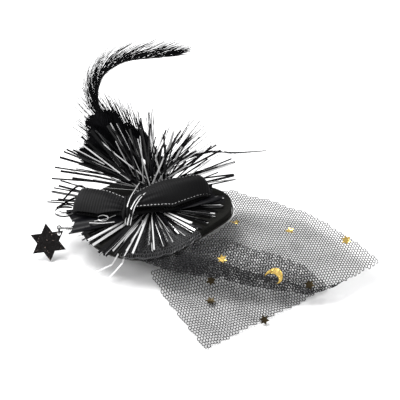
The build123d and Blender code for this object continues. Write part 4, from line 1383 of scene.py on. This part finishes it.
def net_height(x, y, on_upper):
    """The height of the net at a place."""
    if on_upper:
        return float(np.interp(x, (-15, 30, 60, 92), (11.6, 9.4, 5.4, 8.8))) + 0.75
    return float(lower_height(y)) + 0.9


def place_foil(pattern, name, places):
    """Copies a foil shape to places on the net: (x, y, turn, tilt back, bend, on the upper net)."""
    copies = []
    for x, y, turn, tilt, bend, on_upper in places:
        copy = pattern.copy()
        copy.data = pattern.data.copy()
        bpy.context.scene.collection.objects.link(copy)
        flat = read_points(copy)
        a, b = math.radians(turn), math.radians(tilt)
        spun = np.column_stack((
            flat[:, 0] * math.cos(a) - flat[:, 1] * math.sin(a),
            flat[:, 0] * math.sin(a) + flat[:, 1] * math.cos(a),
            bend * flat[:, 0] ** 2 * 0.1,
        ))
        tilted = np.column_stack((
            spun[:, 0], spun[:, 1] * math.cos(b) - spun[:, 2] * math.sin(b),
            spun[:, 1] * math.sin(b) + spun[:, 2] * math.cos(b),
        ))
        lift = max(-tilted[:, 2].min() - 0.6, 0)
        write_points(copy, tilted + np.array((x, y, net_height(x, y, on_upper) + lift)))
        copies.append(copy)
    pick(copies[0])
    for copy in copies:
        copy.select_set(True)
    if len(copies) > 1:
        bpy.ops.object.join()
    piece = new_piece(name)
    use_modifier(piece, "SOLIDIFY", thickness=FOIL * MM, offset=0)
    use_modifier(piece, "BEVEL", width=0.03 * MM, segments=1, limit_method="ANGLE")
    outward(piece)
    return piece


gold_stars = place_foil(star_pattern, "foil_stars_gold", [
    (79.0, -14.5, 10, 42, 2.6, True), (56, -6, 55, -8, 2.0, True), (32.8, -4.0, 30, -20, 2.2, True),
    (27, -28, 70, 18, 1.6, True),
])
dress(gold_stars, gold_foil, stands_for=["confetti_gold_stars"], smooth=20)
# These are gold foil stars like the others; their darker foil is painted shade.
dark_stars = place_foil(star_pattern, "foil_stars_dark", [
    (22.3, -43.0, 80, 6, 1.0, False), (43, -54, 20, 35, 1.0, False), (22.5, -34.0, 50, 55, 1.0, False),
    (61.5, -39.5, 15, 35, 2.2, True),
])
dress(dark_stars, bronze_foil, stands_for=["confetti_dark_stars"], smooth=20)
moon = place_foil(moon_pattern, "foil_moon", [(47.5, -36, -129, 14, 1.4, True)])
dress(moon, gold_foil, stands_for=["confetti_moon"], smooth=20)
for pattern in (star_pattern, moon_pattern):
    bpy.data.objects.remove(pattern)

# %% [markdown]
# ## The star charm's stem
# The charm hangs from a short glittered chenille stem. Chenille is a wire twisted round cut
# fibres, so it is a wire with a spiral of short bristles, laid with the same bar.

# %% Chenille stem
stem_low, stem_high = (np.array(corner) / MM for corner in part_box("pendant_stem"))
ring_low, ring_high = (np.array(corner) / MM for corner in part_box("pendant_ring"))
stem_start = np.array((stem_low[0] + 0.75, (stem_low[1] + stem_high[1]) / 2, (stem_low[2] + stem_high[2]) / 2))
stem_end = np.array((stem_high[0] - 0.3, stem_start[1] - 0.2, stem_high[2] - 0.6))
draw = np.random.default_rng(200)
bristles = []
star_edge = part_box("pendant_star")[1][0] / MM
for share in np.linspace(0.08, 1.0, 300):
    root = stem_start + (stem_end - stem_start) * share
    wind = share * 2 * math.pi * 34
    out = np.array((draw.normal(0, 0.25), math.cos(wind), math.sin(wind)))
    room = 0.45 if root[0] < star_edge else 1.0
    tip = root + out * draw.uniform(0.7, 1.15) * room
    bristles.append(strand([root, tip], [0.22, 0.2, 0.1], 0.06, (1, 0, 0), tone=draw.uniform(0, 1), smooth=False))
stem = lay_strands("stem_bristles", model_bar(3, 2), bristles)
dress(stem, stem_glitter, smooth=0)
stem_wire = round_wire("stem_wire", [smooth_route([stem_start, (stem_start + stem_end) / 2, stem_end])], 0.25)
dress(stem_wire, dark_metal)
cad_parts["pendant_stem"].data.materials.clear()
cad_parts["pendant_stem"].data.materials.append(dark_metal)
